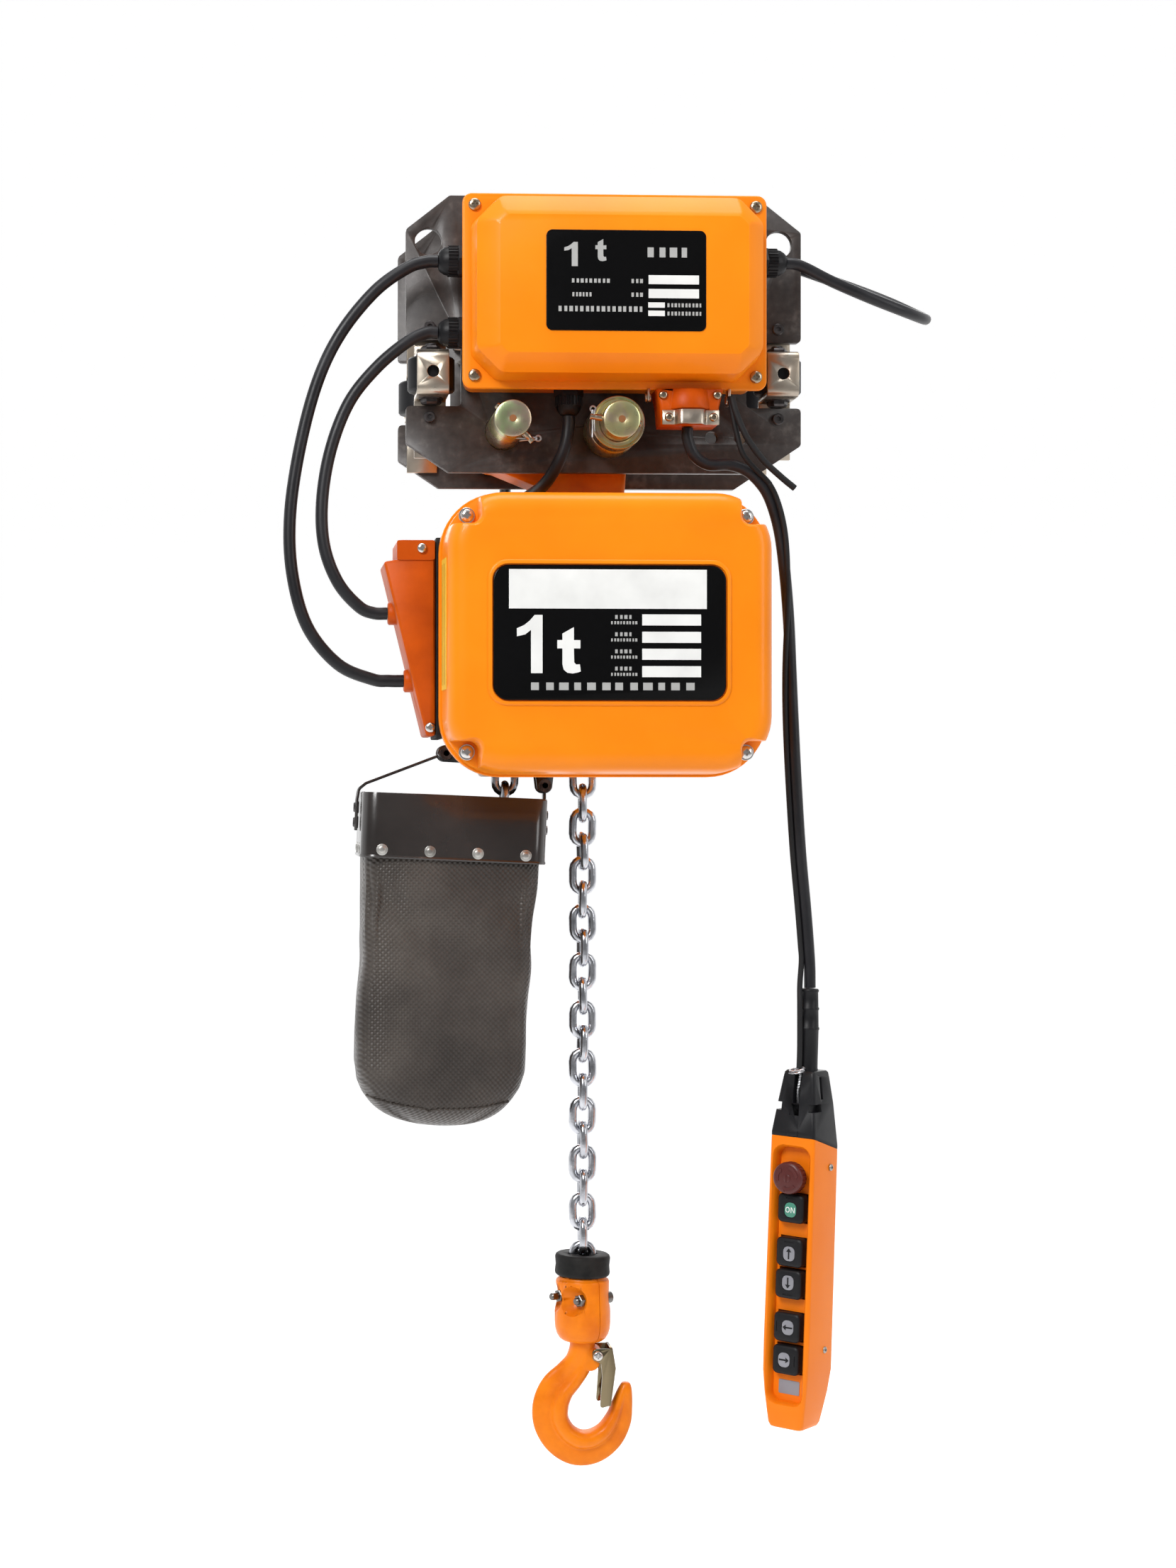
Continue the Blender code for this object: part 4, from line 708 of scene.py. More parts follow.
def bent_strip(path, thickness, radius):
    """Outline of sheet metal bent along a path in a plane, rounded at its bends."""
    smooth = open_rounded(path, radius)
    left, right = [], []
    for index, here in enumerate(smooth):
        before, after = smooth[max(index - 1, 0)], smooth[min(index + 1, len(smooth) - 1)]
        direction = (after - before).normalized()
        offset = Vector((direction.y, -direction.x)) * (0.5 * thickness)
        left.append(tuple(here + offset))
        right.append(tuple(here - offset))
    return left + right[::-1]


def open_rounded(path, radius, steps=6):
    points = [Vector(point) for point in path]
    smooth = [points[0]]
    for before, here, after in zip(points, points[1:], points[2:]):
        inward, outward = before - here, after - here
        half = 0.5 * inward.angle(outward)
        reach = min(radius / max(math.tan(half), 1e-3), 0.45 * inward.length, 0.45 * outward.length)
        start, end = here + inward.normalized() * reach, here + outward.normalized() * reach
        for step in range(steps + 1):
            t = step / steps
            smooth.append(start * (1 - t) ** 2 + here * 2 * t * (1 - t) + end * t ** 2)
    return smooth + [points[-1]]


def make_guides():
    """Bent brackets in dull zinc round moulded rollers, each on its bolt."""
    for side, place in ((-1, "front"), (1, "rear")):
        for x, end in ((-148.0, "left"), (148.0, "right")):
            label = f"{place}_{end}"
            path = [(47.7, 46.0), (47.7, 5.4), (84.0, 5.4), (84.0, -29.0), (47.7, -29.0), (47.7, -80.0)]
            outline = [(side * y, z) for y, z in bent_strip(path, 4.0, 5.0)]
            strap = prism(outline, "X", x - 13.5, x + 13.5)
            cut(strap, cylinder("Y", (x, -12.0), 5.0, side * 78.0, side * 90.0, 40))
            bevelled(strap, 0.45, 2, 50.0)
            piece(strap, "bent_guide_bracket_" + label, M["bracket"], "frame", (f"guide_bracket_{label}",))
            centre = (x, side * 61.0)
            bolt = [cylinder("Z", centre, 6.0, -28.0, 4.0, 32),
                    turned("Z", centre, [(9.0, 7.4), (9.0, 11.2), (7.6, 12.9)], 6),
                    cylinder("Z", centre, 5.2, 12.0, 15.0, 24, 0.8),
                    turned("Z", centre, [(7.6, -36.5), (9.0, -34.8), (9.0, -31.0)], 6),
                    cylinder("Z", centre, 10.5, 7.2, 8.4, 32), cylinder("Z", centre, 10.5, -32.0, -30.8, 32)]
            piece(joined(bolt), "guide_bolt_" + label, M["dark_steel"])
            roller = turned("Z", centre, [(7.5, -26.6), (17.0, -26.6), (18.8, -26.0), (20.0, -24.4),
                                          (20.0, 0.8), (18.8, 2.4), (17.0, 3.0), (7.5, 3.0)], 56)
            cut(roller, cylinder("Z", centre, 6.4, -28.0, 4.0, 40))
            node = f"guide_roller_{label}"
            piece(roller, "moulded_" + node, M["black"], NODES[node]["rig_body"], (node,))


def swept_wire(points, radius, sides=10, per_span=5):
    """A round bar along a smooth path, as a solid."""
    path = curve_through(points, per_span)
    bm = bmesh.new()
    rings = []
    across = None
    for index, here in enumerate(path):
        ahead, behind = path[min(index + 1, len(path) - 1)], path[max(index - 1, 0)]
        direction = (ahead - behind).normalized()
        if across is None:
            across = direction.orthogonal().normalized()
        across = (across - direction * across.dot(direction)).normalized()
        up = direction.cross(across)
        rings.append([bm.verts.new(here + radius * (across * math.cos(2 * math.pi * side / sides)
                                                    + up * math.sin(2 * math.pi * side / sides)))
                      for side in range(sides)])
    return capped(bm, rings)


def make_shafts():
    """Passivated shafts, each locked by a cross pin with its own split pin."""
    for end, x in zip(("left", "right"), SHAFTS_X):
        profile = [(0.3, -131.2), (2.3, -132.6), (2.9, -133.0), (13.6, -133.0), (15.0, -132.4),
                   (15.5, -131.2), (15.5, 88.5), (14.0, 90.0)]
        shaft = turned("Y", (x, SHAFT_Z), profile, 64)
        node = f"suspension_shaft_{end}"
        piece(shaft, "zinc_" + node, M["zinc"], "frame", (node,))
        drill = turned("Y", (x, SHAFT_Z), [(2.9, -133.15), (2.3, -132.75), (0.3, -131.4)], 32)
        piece(drill, "centre_drill_" + end, M["copper"])
    for y, place in ((-122.0, "front"), (81.0, "rear")):
        left = [cross_pin((-86.0, y, SHAFT_Z), 45.0, 25.0), cross_pin((4.0, y, SHAFT_Z), 188.0, 25.5)]
        piece(joined(left), "cross_pins_" + place, M["bronze"])
        splits = []
        for x, angle, reach, lean in ((-86.0, 45.0, 21.8, 176.0), (4.0, 188.0, 22.6, 88.0)):
            turn = math.radians(angle)
            spot = Vector((x + reach * math.cos(turn), y - 0.2, SHAFT_Z - reach * math.sin(turn)))
            pin = split_pin(15.0 if x < 0.0 else 20.0)
            pin.data.transform(Matrix.Translation(spot) @ spin(lean, "Y")
                               @ spin(90.0, "Y"))
            splits.append(pin)
        piece(joined(splits), "split_pins_" + place, M["wire"])
    collar = turned("Y", (4.0, SHAFT_Z), [(19.6, -112.4), (20.0, -113.0), (21.6, -113.0), (22.2, -112.4),
                                          (22.2, -98.0), (21.2, -97.2), (21.2, -96.0), (22.2, -95.2),
                                          (22.2, -60.0), (21.0, -58.3)], 64)
    cut(collar, cylinder("Y", (4.0, SHAFT_Z), 15.9, -120.0, -50.0, 64))
    piece(bevelled(collar, 0.4, 2, 50.0), "zinc_shaft_collar", M["zinc"], "frame", ("shaft_collar",))


def cross_pin(centre, angle, reach):
    """Pin through a shaft at right angles: it turns clockwise from +X by the angle, seen from the front."""
    spool = turned("Z", (0.0, 0.0), [(2.3, -17.6), (2.8, -17.0), (2.8, reach - 7.0), (2.8, reach - 5.2),
                                     (2.5, reach - 4.4), (2.5, reach - 2.2), (2.8, reach - 1.4),
                                     (2.8, reach - 0.4), (2.4, reach)], 32)
    spool.data.transform(Matrix.Translation(centre) @ spin(angle, "Y")
                         @ spin(90.0, "Y"))
    return spool


def split_pin(length, wire=0.75):
    """Split pin along +Z: its eye below, two legs slightly spread."""
    eye = []
    for degrees in range(-150, 151, 30):
        angle = math.radians(degrees)
        eye.append((2.2 * math.sin(angle), 0.0, -6.6 - 2.2 * math.cos(angle)))
    legs = ([(-0.8, 0.0, -4.4), (-0.75, 0.0, 0.3 * length), (-1.0, 0.2, 0.6 * length)],
            [(0.8, 0.0, -4.4), (0.75, 0.0, 0.4 * length), (1.5, -0.2, 0.85 * length)])
    return swept_wire(legs[0][::-1] + eye[::-1] + legs[1], wire, 8)


def make_travel_motor():
    """Cast gearcase, ribbed motor with a fan cowl, and the cable box on its side."""
    axis = (0.0, TRAVEL_MOTOR_Z)
    gearcase = prism(hull_of_circles((0.0, WHEEL_Z, 40.0), (*axis, 60.0), 72), "Y", 58.3, 106.0)
    bevelled(gearcase, 3.0, 3, 60.0)
    ear_places = [(-38.0, 30.0), (38.0, 30.0), (-57.0, 92.0), (57.0, 92.0), (0.0, 135.0)]
    ears = [cylinder("Y", place, 8.0, 58.3, 70.0, 32, 0.8) for place in ear_places]
    fin = ((50.5, -0.26), (56.0, -0.16), (56.0, 0.16), (50.5, 0.26))
    ribbed = prism(repeated_round(axis, 30, fin), "Y", 114.0, 218.0)
    flange = turned("Y", axis, [(57.0, 105.0), (58.5, 106.5), (58.5, 114.0), (56.0, 116.0)], 72)
    cowl = turned("Y", axis, [(57.5, 214.0), (59.0, 216.0), (59.0, 248.0), (57.0, 252.5), (50.0, 258.0)], 72)
    union(gearcase, *ears, ribbed, flange, cowl)
    entry = prism(rounded_rectangle((28.0, 96.0), (112.0, 158.0), 5.0, 4), "X", -72.0, -40.0)
    entry.data.transform(Matrix(((1, 0, 0, 0), (0, 0, 1, 0), (0, 1, 0, 0), (0, 0, 0, 1))))
    union(gearcase, bevelled(entry, 1.5, 3, 50.0))
    cut(gearcase, cylinder("Y", (0.0, WHEEL_Z), 12.4, 50.0, 87.0, 48))
    piece(gearcase, "cast_travel_motor", M["plate"], "frame", ("travel_motor",))

    rings = [turned("Y", axis, [(radius - 1.6, 256.0), (radius - 1.2, 258.6), (radius + 1.2, 258.6),
                                (radius + 1.6, 256.0)], 56) for radius in (14.0, 24.0, 34.0, 44.0)]
    piece(joined(rings), "travel_motor_grille", M["black"])
    screws = [("Y", (x, 70.0, z), 1) for x, z in ear_places]
    screws += [("X", (-72.0, y, z), -1) for y in (117.0, 153.0) for z in (34.0, 90.0)]
    set_fasteners("travel_motor_screws", lambda: socket_head(5.0, 4.0), screws, M["dark_steel"])
    nut = [turned("Z", (-60.0, 134.0), [(11.5, 24.0), (11.5, 12.0), (10.0, 10.5)], 6),
           turned("Z", (-60.0, 134.0), [(8.6, 11.0), (8.2, 4.5), (6.6, -2.0), (5.9, -14.0)], 32)]
    piece(joined(nut), "travel_motor_gland", M["black"])


def repeated_round(centre, count, stations):
    """Outline of like ribs round a circle: stations of (radius, share of one step from the rib's middle)."""
    outline = []
    for rib in range(count):
        for radius, share in stations:
            angle = (rib + share) * 2.0 * math.pi / count
            outline.append((centre[0] + radius * math.cos(angle), centre[1] + radius * math.sin(angle)))
    return outline


def hull_of_circles(first, second, segments=48):
    """Outline round two circles (x, z, radius), as their convex hull."""
    points = sorted(circle(first[:2], first[2], segments) + circle(second[:2], second[2], segments))
    outline = []
    for sequence in (points, points[::-1]):
        chain = []
        for point in sequence:
            while len(chain) > 1 and turn_of(chain[-2], chain[-1], point) <= 1e-9:
                chain.pop()
            chain.append(point)
        outline += chain[:-1]
    return outline


def turn_of(first, second, third):
    return ((second[0] - first[0]) * (third[1] - first[1])
            - (second[1] - first[1]) * (third[0] - first[0]))


# ---------------------------------------------------------------- control box

def make_control_box():
    tray = prism(rounded_rectangle((-121.0, 124.0), (-26.0, 127.5), 8.0, 8), "Y", -105.2, -62.0)
    lip = prism(rounded_rectangle((-124.5, 127.8), (-29.5, 130.9), 8.0, 8), "Y", -105.2, -101.5)
    union(tray, lip)
    cut(tray, prism(rounded_rectangle((-117.0, 120.0), (-22.0, 123.5), 5.0, 6), "Y", -110.0, -66.0))
    bevelled(tray, 1.6, 3, 50.0)
    feet = [cylinder("Y", (x, z), 9.0, -64.0, -58.3, 32, 0.5) for x in (-100.0, 103.0) for z in (0.0, 118.0)]
    piece(joined([tray, *feet]), "moulded_control_box", M["orange"], "frame", ("control_box",))

    back = -105.5
    flange = prism(rounded_rectangle((-125.5, 128.8), (-30.5, 131.9), 8.0, 8), "Y", back, back - 4.0)
    bevelled(flange, 1.4, 3, 50.0)
    raised = loft([(back - 1.0, chamfered((-119.0, 122.5), (-24.0, 125.5), 20.0)),
                   (-137.0, chamfered((-116.0, 120.0), (-21.5, 123.0), 20.0)),
                   (-146.0, chamfered((-102.0, 109.0), (-10.0, 109.5), 8.0)),
                   (BOX_FRONT_Y, chamfered((-98.0, 106.0), (-7.0, 105.5), 7.0))], "Y")
    bevelled(raised, 3.2, 4, 24.0)
    union(flange, raised)
    piece(flange, "pressed_control_box_cover", M["orange"], "frame", ("control_box_cover",))
    corners = [("Y", (x, back - 4.0, z), -1) for x in (-115.5, 119.5) for z in (122.0, -19.5)]
    set_fasteners("control_box_screws", lambda: cross_screw(5.2, 3.2), corners, M["bronze"])


def chamfered(x, z, corner):
    """Rectangle with its corners cut and each new corner eased."""
    points = [(x[1] - corner, z[0]), (x[1], z[0] + corner), (x[1], z[1] - corner), (x[1] - corner, z[1]),
              (x[0] + corner, z[1]), (x[0], z[1] - corner), (x[0], z[0] + corner), (x[0] + corner, z[0])]
    return rounded(points, 0.55 * corner, 4)


def plate_label(name, x, z, y, radius, material, thickness=0.8, edge=0.2):
    label = prism(rounded_rectangle(x, z, radius, 8), "Y", y + 0.3, y - thickness)
    return piece(bevelled(label, edge, 3, 50.0), name, material, "frame")


def dashes(row, letters):
    """A row of small blocks that stands in for a line of print: row is (x0, x1, z0, z1)."""
    x0, x1, z0, z1 = row
    pitch = (x1 - x0) / letters
    blocks = []
    for index in range(letters):
        start, end = 0.10 + 0.08 * (index % 2), 0.66 + 0.06 * (index % 3)
        blocks.append((x0 + (index + start) * pitch, x0 + (index + end) * pitch, z0, z1))
    return blocks


ONE = [(0.0, 0.0), (1.0, 0.0), (1.0, 5.0), (0.32, 5.0), (-0.12, 4.5), (-0.6, 4.12), (-1.22, 3.85), (-1.22, 3.16),
       (-0.5, 3.32), (0.0, 3.72)]


def figure_one(x, z, width, height):
    """Bold figure one: x and z are the lower left corner of its stem."""
    return [(x + u * width, z + v * height / 5.0) for u, v in ONE]


def figure_t(x, z, scale):
    """Bold lower-case t: x and z are the foot of its stem, scale its height."""
    shape = [(0.0, 0.20), (0.03, 0.08), (0.11, 0.015), (0.22, 0.0), (0.33, 0.02), (0.40, 0.045), (0.38, 0.20),
             (0.30, 0.195), (0.255, 0.24), (0.25, 0.54), (0.39, 0.54), (0.39, 0.72), (0.25, 0.72), (0.25, 1.0),
             (0.0, 0.86), (0.0, 0.72), (-0.11, 0.72), (-0.11, 0.54), (0.0, 0.54)]
    return [(x + u * scale, z + v * scale) for u, v in shape]


def printed(name, outlines, y, material):
    """Flat printed figures facing the operator."""
    items = [prism(outline, "Y", y, y - 0.12) for outline in outlines]
    return piece(joined(items), name, material, "frame")


def bars(name, rectangles, y, material):
    """Blank printed fields: thin raised rectangles (x0, x1, z0, z1)."""
    items = [prism(rectangle((x0, x1), (z0, z1)), "Y", y, y - 0.12) for x0, x1, z0, z1 in rectangles]
    return piece(joined(items), name, material, "frame")


def make_box_label():
    """Glossy black plate: the rated load, blank fields and rows of plain strokes."""
    plate_label("box_label", (-60.5, 70.5), (11.0, 93.0), BOX_FRONT_Y, 5.0, M["label"])
    front = BOX_FRONT_Y - 0.8
    bars("box_label_fields", [(23.2, 64.6, 49.1, 56.4), (23.2, 64.6, 37.7, 45.2), (22.9, 36.5, 29.9, 34.2),
                              (22.9, 36.5, 23.1, 27.5)], front, M["white"])
    rows = (dashes((-40.0, -7.8, 49.8, 53.2), 9) + dashes((8.8, 19.3, 49.8, 53.2), 3)
            + dashes((-39.5, -23.0, 38.6, 42.0), 6) + dashes((8.8, 19.3, 38.6, 42.0), 3)
            + dashes((-51.0, 19.5, 26.4, 30.8), 16) + dashes((38.4, 67.4, 30.4, 33.6), 10)
            + dashes((38.4, 67.4, 23.6, 26.8), 10) + dashes((21.4, 57.8, 71.0, 79.0), 4))
    bars("box_label_rows", rows, front, M["print"])
    figures = [figure_one(-39.8, 63.2, 5.0, 19.7), figure_t(-18.5, 67.4, 18.0)]
    printed("box_label_figures", figures, front, M["print"])


def ridged_gland(axis, centre, base, sign, radius, across):
    """Hexagonal body, domed nut with grip ribs, and a tapered sleeve on the cable."""
    body = turned(axis, centre, [(radius - 1.0, base), (radius, base + 1.0 * sign), (radius, base + 6.0 * sign),
                                 (radius - 1.0, base + 7.0 * sign)], 6)
    rib = [(r * radius, share) for r, share in ((0.86, -0.25), (0.93, -0.12), (0.93, 0.12), (0.86, 0.25))]
    nut = prism(repeated_round(centre, 24, rib), axis, base + 6.5 * sign, base + 14.5 * sign)
    dome = turned(axis, centre, [(0.86 * radius, base + 14.0 * sign), (0.8 * radius, base + 17.5 * sign),
                                 (0.66 * radius, base + 20.5 * sign), (0.52 * radius, base + 22.3 * sign),
                                 (0.5 * across + 0.6, base + 22.5 * sign)], 40)
    return [body, nut, dome]


def make_glands():
    rows = [("gland_left_upper", "X", (-85.0, 80.0), -121.3, -1, 14.0),
            ("gland_left_lower", "X", (-85.0, 20.0), -121.3, -1, 14.0),
            ("gland_right", "X", (-85.0, 81.0), 127.3, 1, 13.0),
            ("gland_bottom", "Z", (-34.0, -85.0), -26.3, -1, 12.5)]
    for node, axis, centre, base, sign, radius in rows:
        parts = ridged_gland(axis, centre, base, sign, radius, LEAD_DIAMETER)
        piece(joined(parts), "ribbed_" + node, M["black"], "frame", (node,))


def make_pendant_socket():
    """Cable socket with its two-piece saddle clamp."""
    socket = loft([(-30.9, rounded_rectangle((35.0, 91.0), (-118.0, -87.0), 3.0, 4)),
                   (-46.0, rounded_rectangle((38.0, 87.5), (-118.0, -87.0), 3.0, 4)),
                   (-60.5, rounded_rectangle((39.0, 86.5), (-117.0, -88.0), 3.0, 4))], "Z")
    barrel = turned("Z", (63.0, -106.0), [(16.0, -48.5), (20.0, -47.5), (20.0, -44.0), (18.5, -31.4)], 56)
    union(socket, barrel, block((40.0, 86.0), (-103.5, -88.5), (-32.0, -26.3)))
    bevelled(socket, 0.8, 2, 40.0)
    # The socket's darker red orange includes painted shade.
    piece(socket, "cast_pendant_socket", M["red_shaded"], "frame", ("pendant_socket",))

    path = [(39.5, -118.8), (50.5, -118.8), (54.0, -125.6), (72.0, -125.6), (75.5, -118.8), (87.0, -118.8)]
    outline = bent_strip(path, 1.8, 4.0)
    saddle = prism(outline, "Z", -60.8, -48.6)
    piece(bevelled(saddle, 0.4, 2, 50.0), "saddle_clamp", M["bracket"])
    screws = [("Y", (x, -119.6, -54.7), -1) for x in (44.8, 82.0)]
    screws += [("Y", (x, -117.8, -36.0), -1) for x in (40.4, 85.4)]
    set_fasteners("saddle_screws", lambda: cross_screw(3.7, 2.8), screws, M["bronze"])
    tabs = []
    for x, reach in ((29.5, 9.0), (97.0, 12.0)):
        low = -31.0 - reach
        corners = [(x - 1.1, -29.7), (x + 1.1, -29.7), (x + 1.1, low), (x - 1.1, low)]
        tab = prism(rounded(corners, 0.6, 3), "Y", -112.0, -100.0)
        tabs.append(bevelled(tab, 0.4, 2, 50.0))
        tabs.append(cylinder("X", (-106.0, -31.0 - 0.6 * reach), 3.6, x - 2.6, x + 2.6, 24, 0.5))
    piece(joined(tabs), "socket_tabs", M["bracket"])


def corner_notch(x, z, rows):
    """Space at a corner of the cover: rows are (y, reach from the screw toward the middle of the cover)."""
    away_x, away_z = (-1.0 if x < -14.0 else 1.0), (-1.0 if z < -237.0 else 1.0)
    sections = []
    for y, margin in rows:
        xs = sorted((x - away_x * margin, x + away_x * 60.0))
        zs = sorted((z - away_z * margin, z + away_z * 60.0))
        sections.append((y, rounded_rectangle(xs, zs, 8.0, 8)))
    return loft(sections, "Y")


# ---------------------------------------------------------------- hoist

def make_yoke():
    corners = [(-93.0, -84.0), (-51.0, -101.0), (-46.0, -124.3), (22.0, -124.3), (27.0, -58.0), (14.0, -36.0),
               (-96.0, -36.0), (-108.0, -58.0)]
    yoke = prism(rounded(corners, 6.0, 4), "Y", -22.0, 22.0)
    for x in SHAFTS_X:
        union(yoke, cylinder("Y", (x, SHAFT_Z), 24.0, -47.0, 47.0, 48, 1.5))
    remeshed(yoke, 1.7, 5)
    cut(yoke, *[cylinder("Y", (x, SHAFT_Z), 15.9, -60.0, 60.0, 56) for x in SHAFTS_X])
    piece(yoke, "cast_hanger_yoke", M["cast"], "frame", ("hanger_yoke",))


def inset_outline(distance, steps=12):
    x = -146.0 + distance, 118.0 - distance
    z = -351.0 + distance, -124.0 - distance
    return rounded_rectangle(x, z, 47.0 - distance, steps)


def make_hoist_body():
    """Die-cast body: rim behind the cover, gear chamber, sheave chamber and the motor's flange."""
    centre = (SHEAVE_X, AXIS_Z)
    rim = loft([(-149.7, inset_outline(-1.4)), (-149.0, inset_outline(-2.0)), (-140.2, inset_outline(-2.0)),
                (-139.0, inset_outline(-1.0))], "Y")
    chamber = loft([(-141.0, inset_outline(4.0)), (-64.0, inset_outline(4.6)), (-60.0, inset_outline(8.0))], "Y")
    corners = [(-105.0, -345.0), (58.0, -345.0), (75.0, -328.0), (75.0, -140.0), (58.0, -124.6),
               (-105.0, -124.6), (-125.0, -144.0), (-125.0, -320.0)]
    middle = prism(rounded(corners, 9.0, 6), "Y", -62.0, 61.0)
    flange = turned("Y", centre, [(94.0, 58.0), (98.0, 61.0), (98.0, 73.0), (97.0, 75.0)], 96)
    pad = prism(rounded_rectangle((-130.0, -66.0), (-320.0, -157.0), 4.0, 4), "X", -142.0, -110.0)
    skirt = block((-100.0, 8.0), (-28.0, 28.0), (-351.0, -335.0))
    ribs = []
    for z in (-300.0, -262.0, -208.0, -170.0):
        ribs += [block(x, (-61.0, 58.0), (z - 2.5, z + 2.5)) for x in ((74.0, 80.0), (-127.0, -118.0))]
    ribs += [block((x - 2.5, x + 2.5), (-61.0, 58.0), (-349.0, -340.0)) for x in (-88.0, 20.0, 46.0)]
    body = union(rim, chamber, middle, flange, pad, bevelled(skirt, 3.0, 3, 50.0), *ribs)
    channel = 13.4
    cut(body, prism(inset_outline(10.0), "Y", -155.0, -66.0),
        cylinder("Y", centre, 47.0, -21.0, 21.0, 72),
        cylinder("Y", centre, 18.4, -70.0, 0.0, 48),
        cylinder("Y", centre, 10.4, 0.0, 80.0, 40),
        block((LOAD_X - channel, LOAD_X + channel), (-channel, channel), (-360.0, -130.0)),
        block((SLACK_X - channel, SLACK_X + channel), (-channel, channel), (-360.0, AXIS_Z)))
    piece(body, "cast_hoist_body", M["orange"], "frame", ("hoist_body",), angle=40.0)
    bolts = [("Y", (SHEAVE_X + 90.0 * math.cos(a), 60.0, AXIS_Z + 90.0 * math.sin(a)), -1)
             for a in (math.radians(45.0), math.radians(135.0))]
    set_fasteners("motor_flange_bolts", lambda: socket_head(4.6, 5.0), bolts, M["dark_steel"])
    set_fasteners("body_top_bolt", lambda: hex_head(8.0, 6.5), [("Z", (53.0, -100.0, -128.0), 1)], M["steel"])
    pins = []
    for place in ((-131.0, -331.0), (-45.0, -359.0)):
        pins.append(cylinder("Y", place, 3.0, -14.0, 14.0, 24, 0.5))
        pins.append(turned("Y", place, [(5.6, -14.0), (5.6, -12.0), (4.8, -10.8)], 24))
        pins.append(turned("Y", place, [(4.8, 10.8), (5.6, 12.0), (5.6, 14.0)], 24))
    piece(joined(pins), "strap_bolts", M["dark_steel"])


def make_front_cover():
    """Deep drawn cover: a rounded rim, a corner notch round each screw, and a framed recess for its label."""
    face = COVER_FACE_Y
    sections = [(-150.0, 0.0), (-151.0, 0.0), (face + 16.0, 1.5), (face + 12.0, 2.0), (face + 8.0, 3.4),
                (face + 5.0, 5.4), (face + 2.6, 8.2), (face + 1.0, 11.6), (face + 0.2, 15.0), (face, 18.0)]
    cover = loft([(y, inset_outline(d)) for y, d in sections], "Y")
    frame_rim = loft([(face + 1.0, rounded_rectangle((-114.0, 82.0), (-297.5, -180.0), 16.0, 10)),
                      (face - 0.9, rounded_rectangle((-113.0, 81.0), (-296.5, -181.0), 15.5, 10)),
                      (face - 1.4, rounded_rectangle((-112.0, 80.0), (-295.5, -182.0), 15.0, 10))], "Y")
    union(cover, frame_rim)
    flare = [(-165.0, 8.8), (face + 5.0, 9.0), (face + 2.0, 9.7), (face + 0.5, 10.8), (face - 3.0, 13.6)]
    notches = [corner_notch(x, z, flare) for x, z in COVER_SCREWS]
    recess = prism(rounded_rectangle((-110.0, 78.0), (-293.5, -184.0), 13.0, 10), "Y", face - 6.0, face + 1.5)
    cut(cover, *notches, recess)
    bevelled(cover, 0.9, 3, 38.0)
    shell_inside = loft([(-149.0, inset_outline(4.0)), (face + 18.0, inset_outline(5.5)),
                         (face + 5.0, inset_outline(15.0))], "Y")
    cut(shell_inside, *[corner_notch(x, z, [(-162.0, 12.4), (face - 5.0, 14.5)]) for x, z in COVER_SCREWS])
    cut(cover, shell_inside)
    piece(cover, "drawn_front_cover", M["orange"], "frame", ("front_cover",), angle=40.0)
    washers = [cylinder("Y", place, 6.6, -165.2, -166.6, 32, 0.3) for place in COVER_SCREWS]
    piece(joined(washers), "front_cover_washers", M["chrome"])
    places = [("Y", (x, -166.4, z), -1) for x, z in COVER_SCREWS]
    set_fasteners("front_cover_screws", lambda: cross_screw(5.4, 4.4), places, M["chrome"])
    make_hoist_label()
    outline = [(-145.9, -153.0), (-146.35, -153.0), (-145.15, -181.0), (-144.7, -181.0)]
    strip = prism(outline, "Z", -283.0, -177.5)
    piece(strip, "side_strip", M["yellow"])
    marks = [prism([(x, y), (x - 0.12, y), (x - 0.07, y - 1.1), (x + 0.05, y - 1.1)], "Z", -279.0, -181.5)
             for x, y in ((-146.15, -157.0), (-145.62, -169.0))]
    piece(joined(marks), "side_strip_marks", M["black"])


def make_hoist_label():
    """Domed glossy plate with a blank header band, blank fields, plain strokes and the rated load."""
    y = COVER_FACE_Y + 1.5
    plate_label("hoist_label", (-109.0, 77.0), (-292.5, -185.0), y, 12.0, M["label"], 1.9, 0.9)
    front = y - 1.9
    bars("hoist_label_fields", [(-96.6, 61.3, -219.7, -188.5), (9.6, 56.7, -232.9, -224.1),
                                (9.6, 56.7, -246.7, -237.9), (9.6, 56.7, -260.2, -251.4),
                                (9.6, 56.7, -274.0, -265.2)], front, M["white"])
    rows = []
    for z in (-226.6, -240.3, -253.9, -267.6):
        rows += dashes((-12.4, 2.3, z - 1.2, z + 1.9), 4) + dashes((-15.5, 6.2, z - 5.4, z - 3.0), 9)
    rows += dashes((-80.2, 54.0, -284.4, -278.4), 12)
    bars("hoist_label_rows", rows, front, M["print"])
    printed("hoist_label_figures", [figure_one(-79.1, -271.0, 9.2, 46.2), figure_t(-54.1, -271.2, 36.8)], front,
            M["white"])


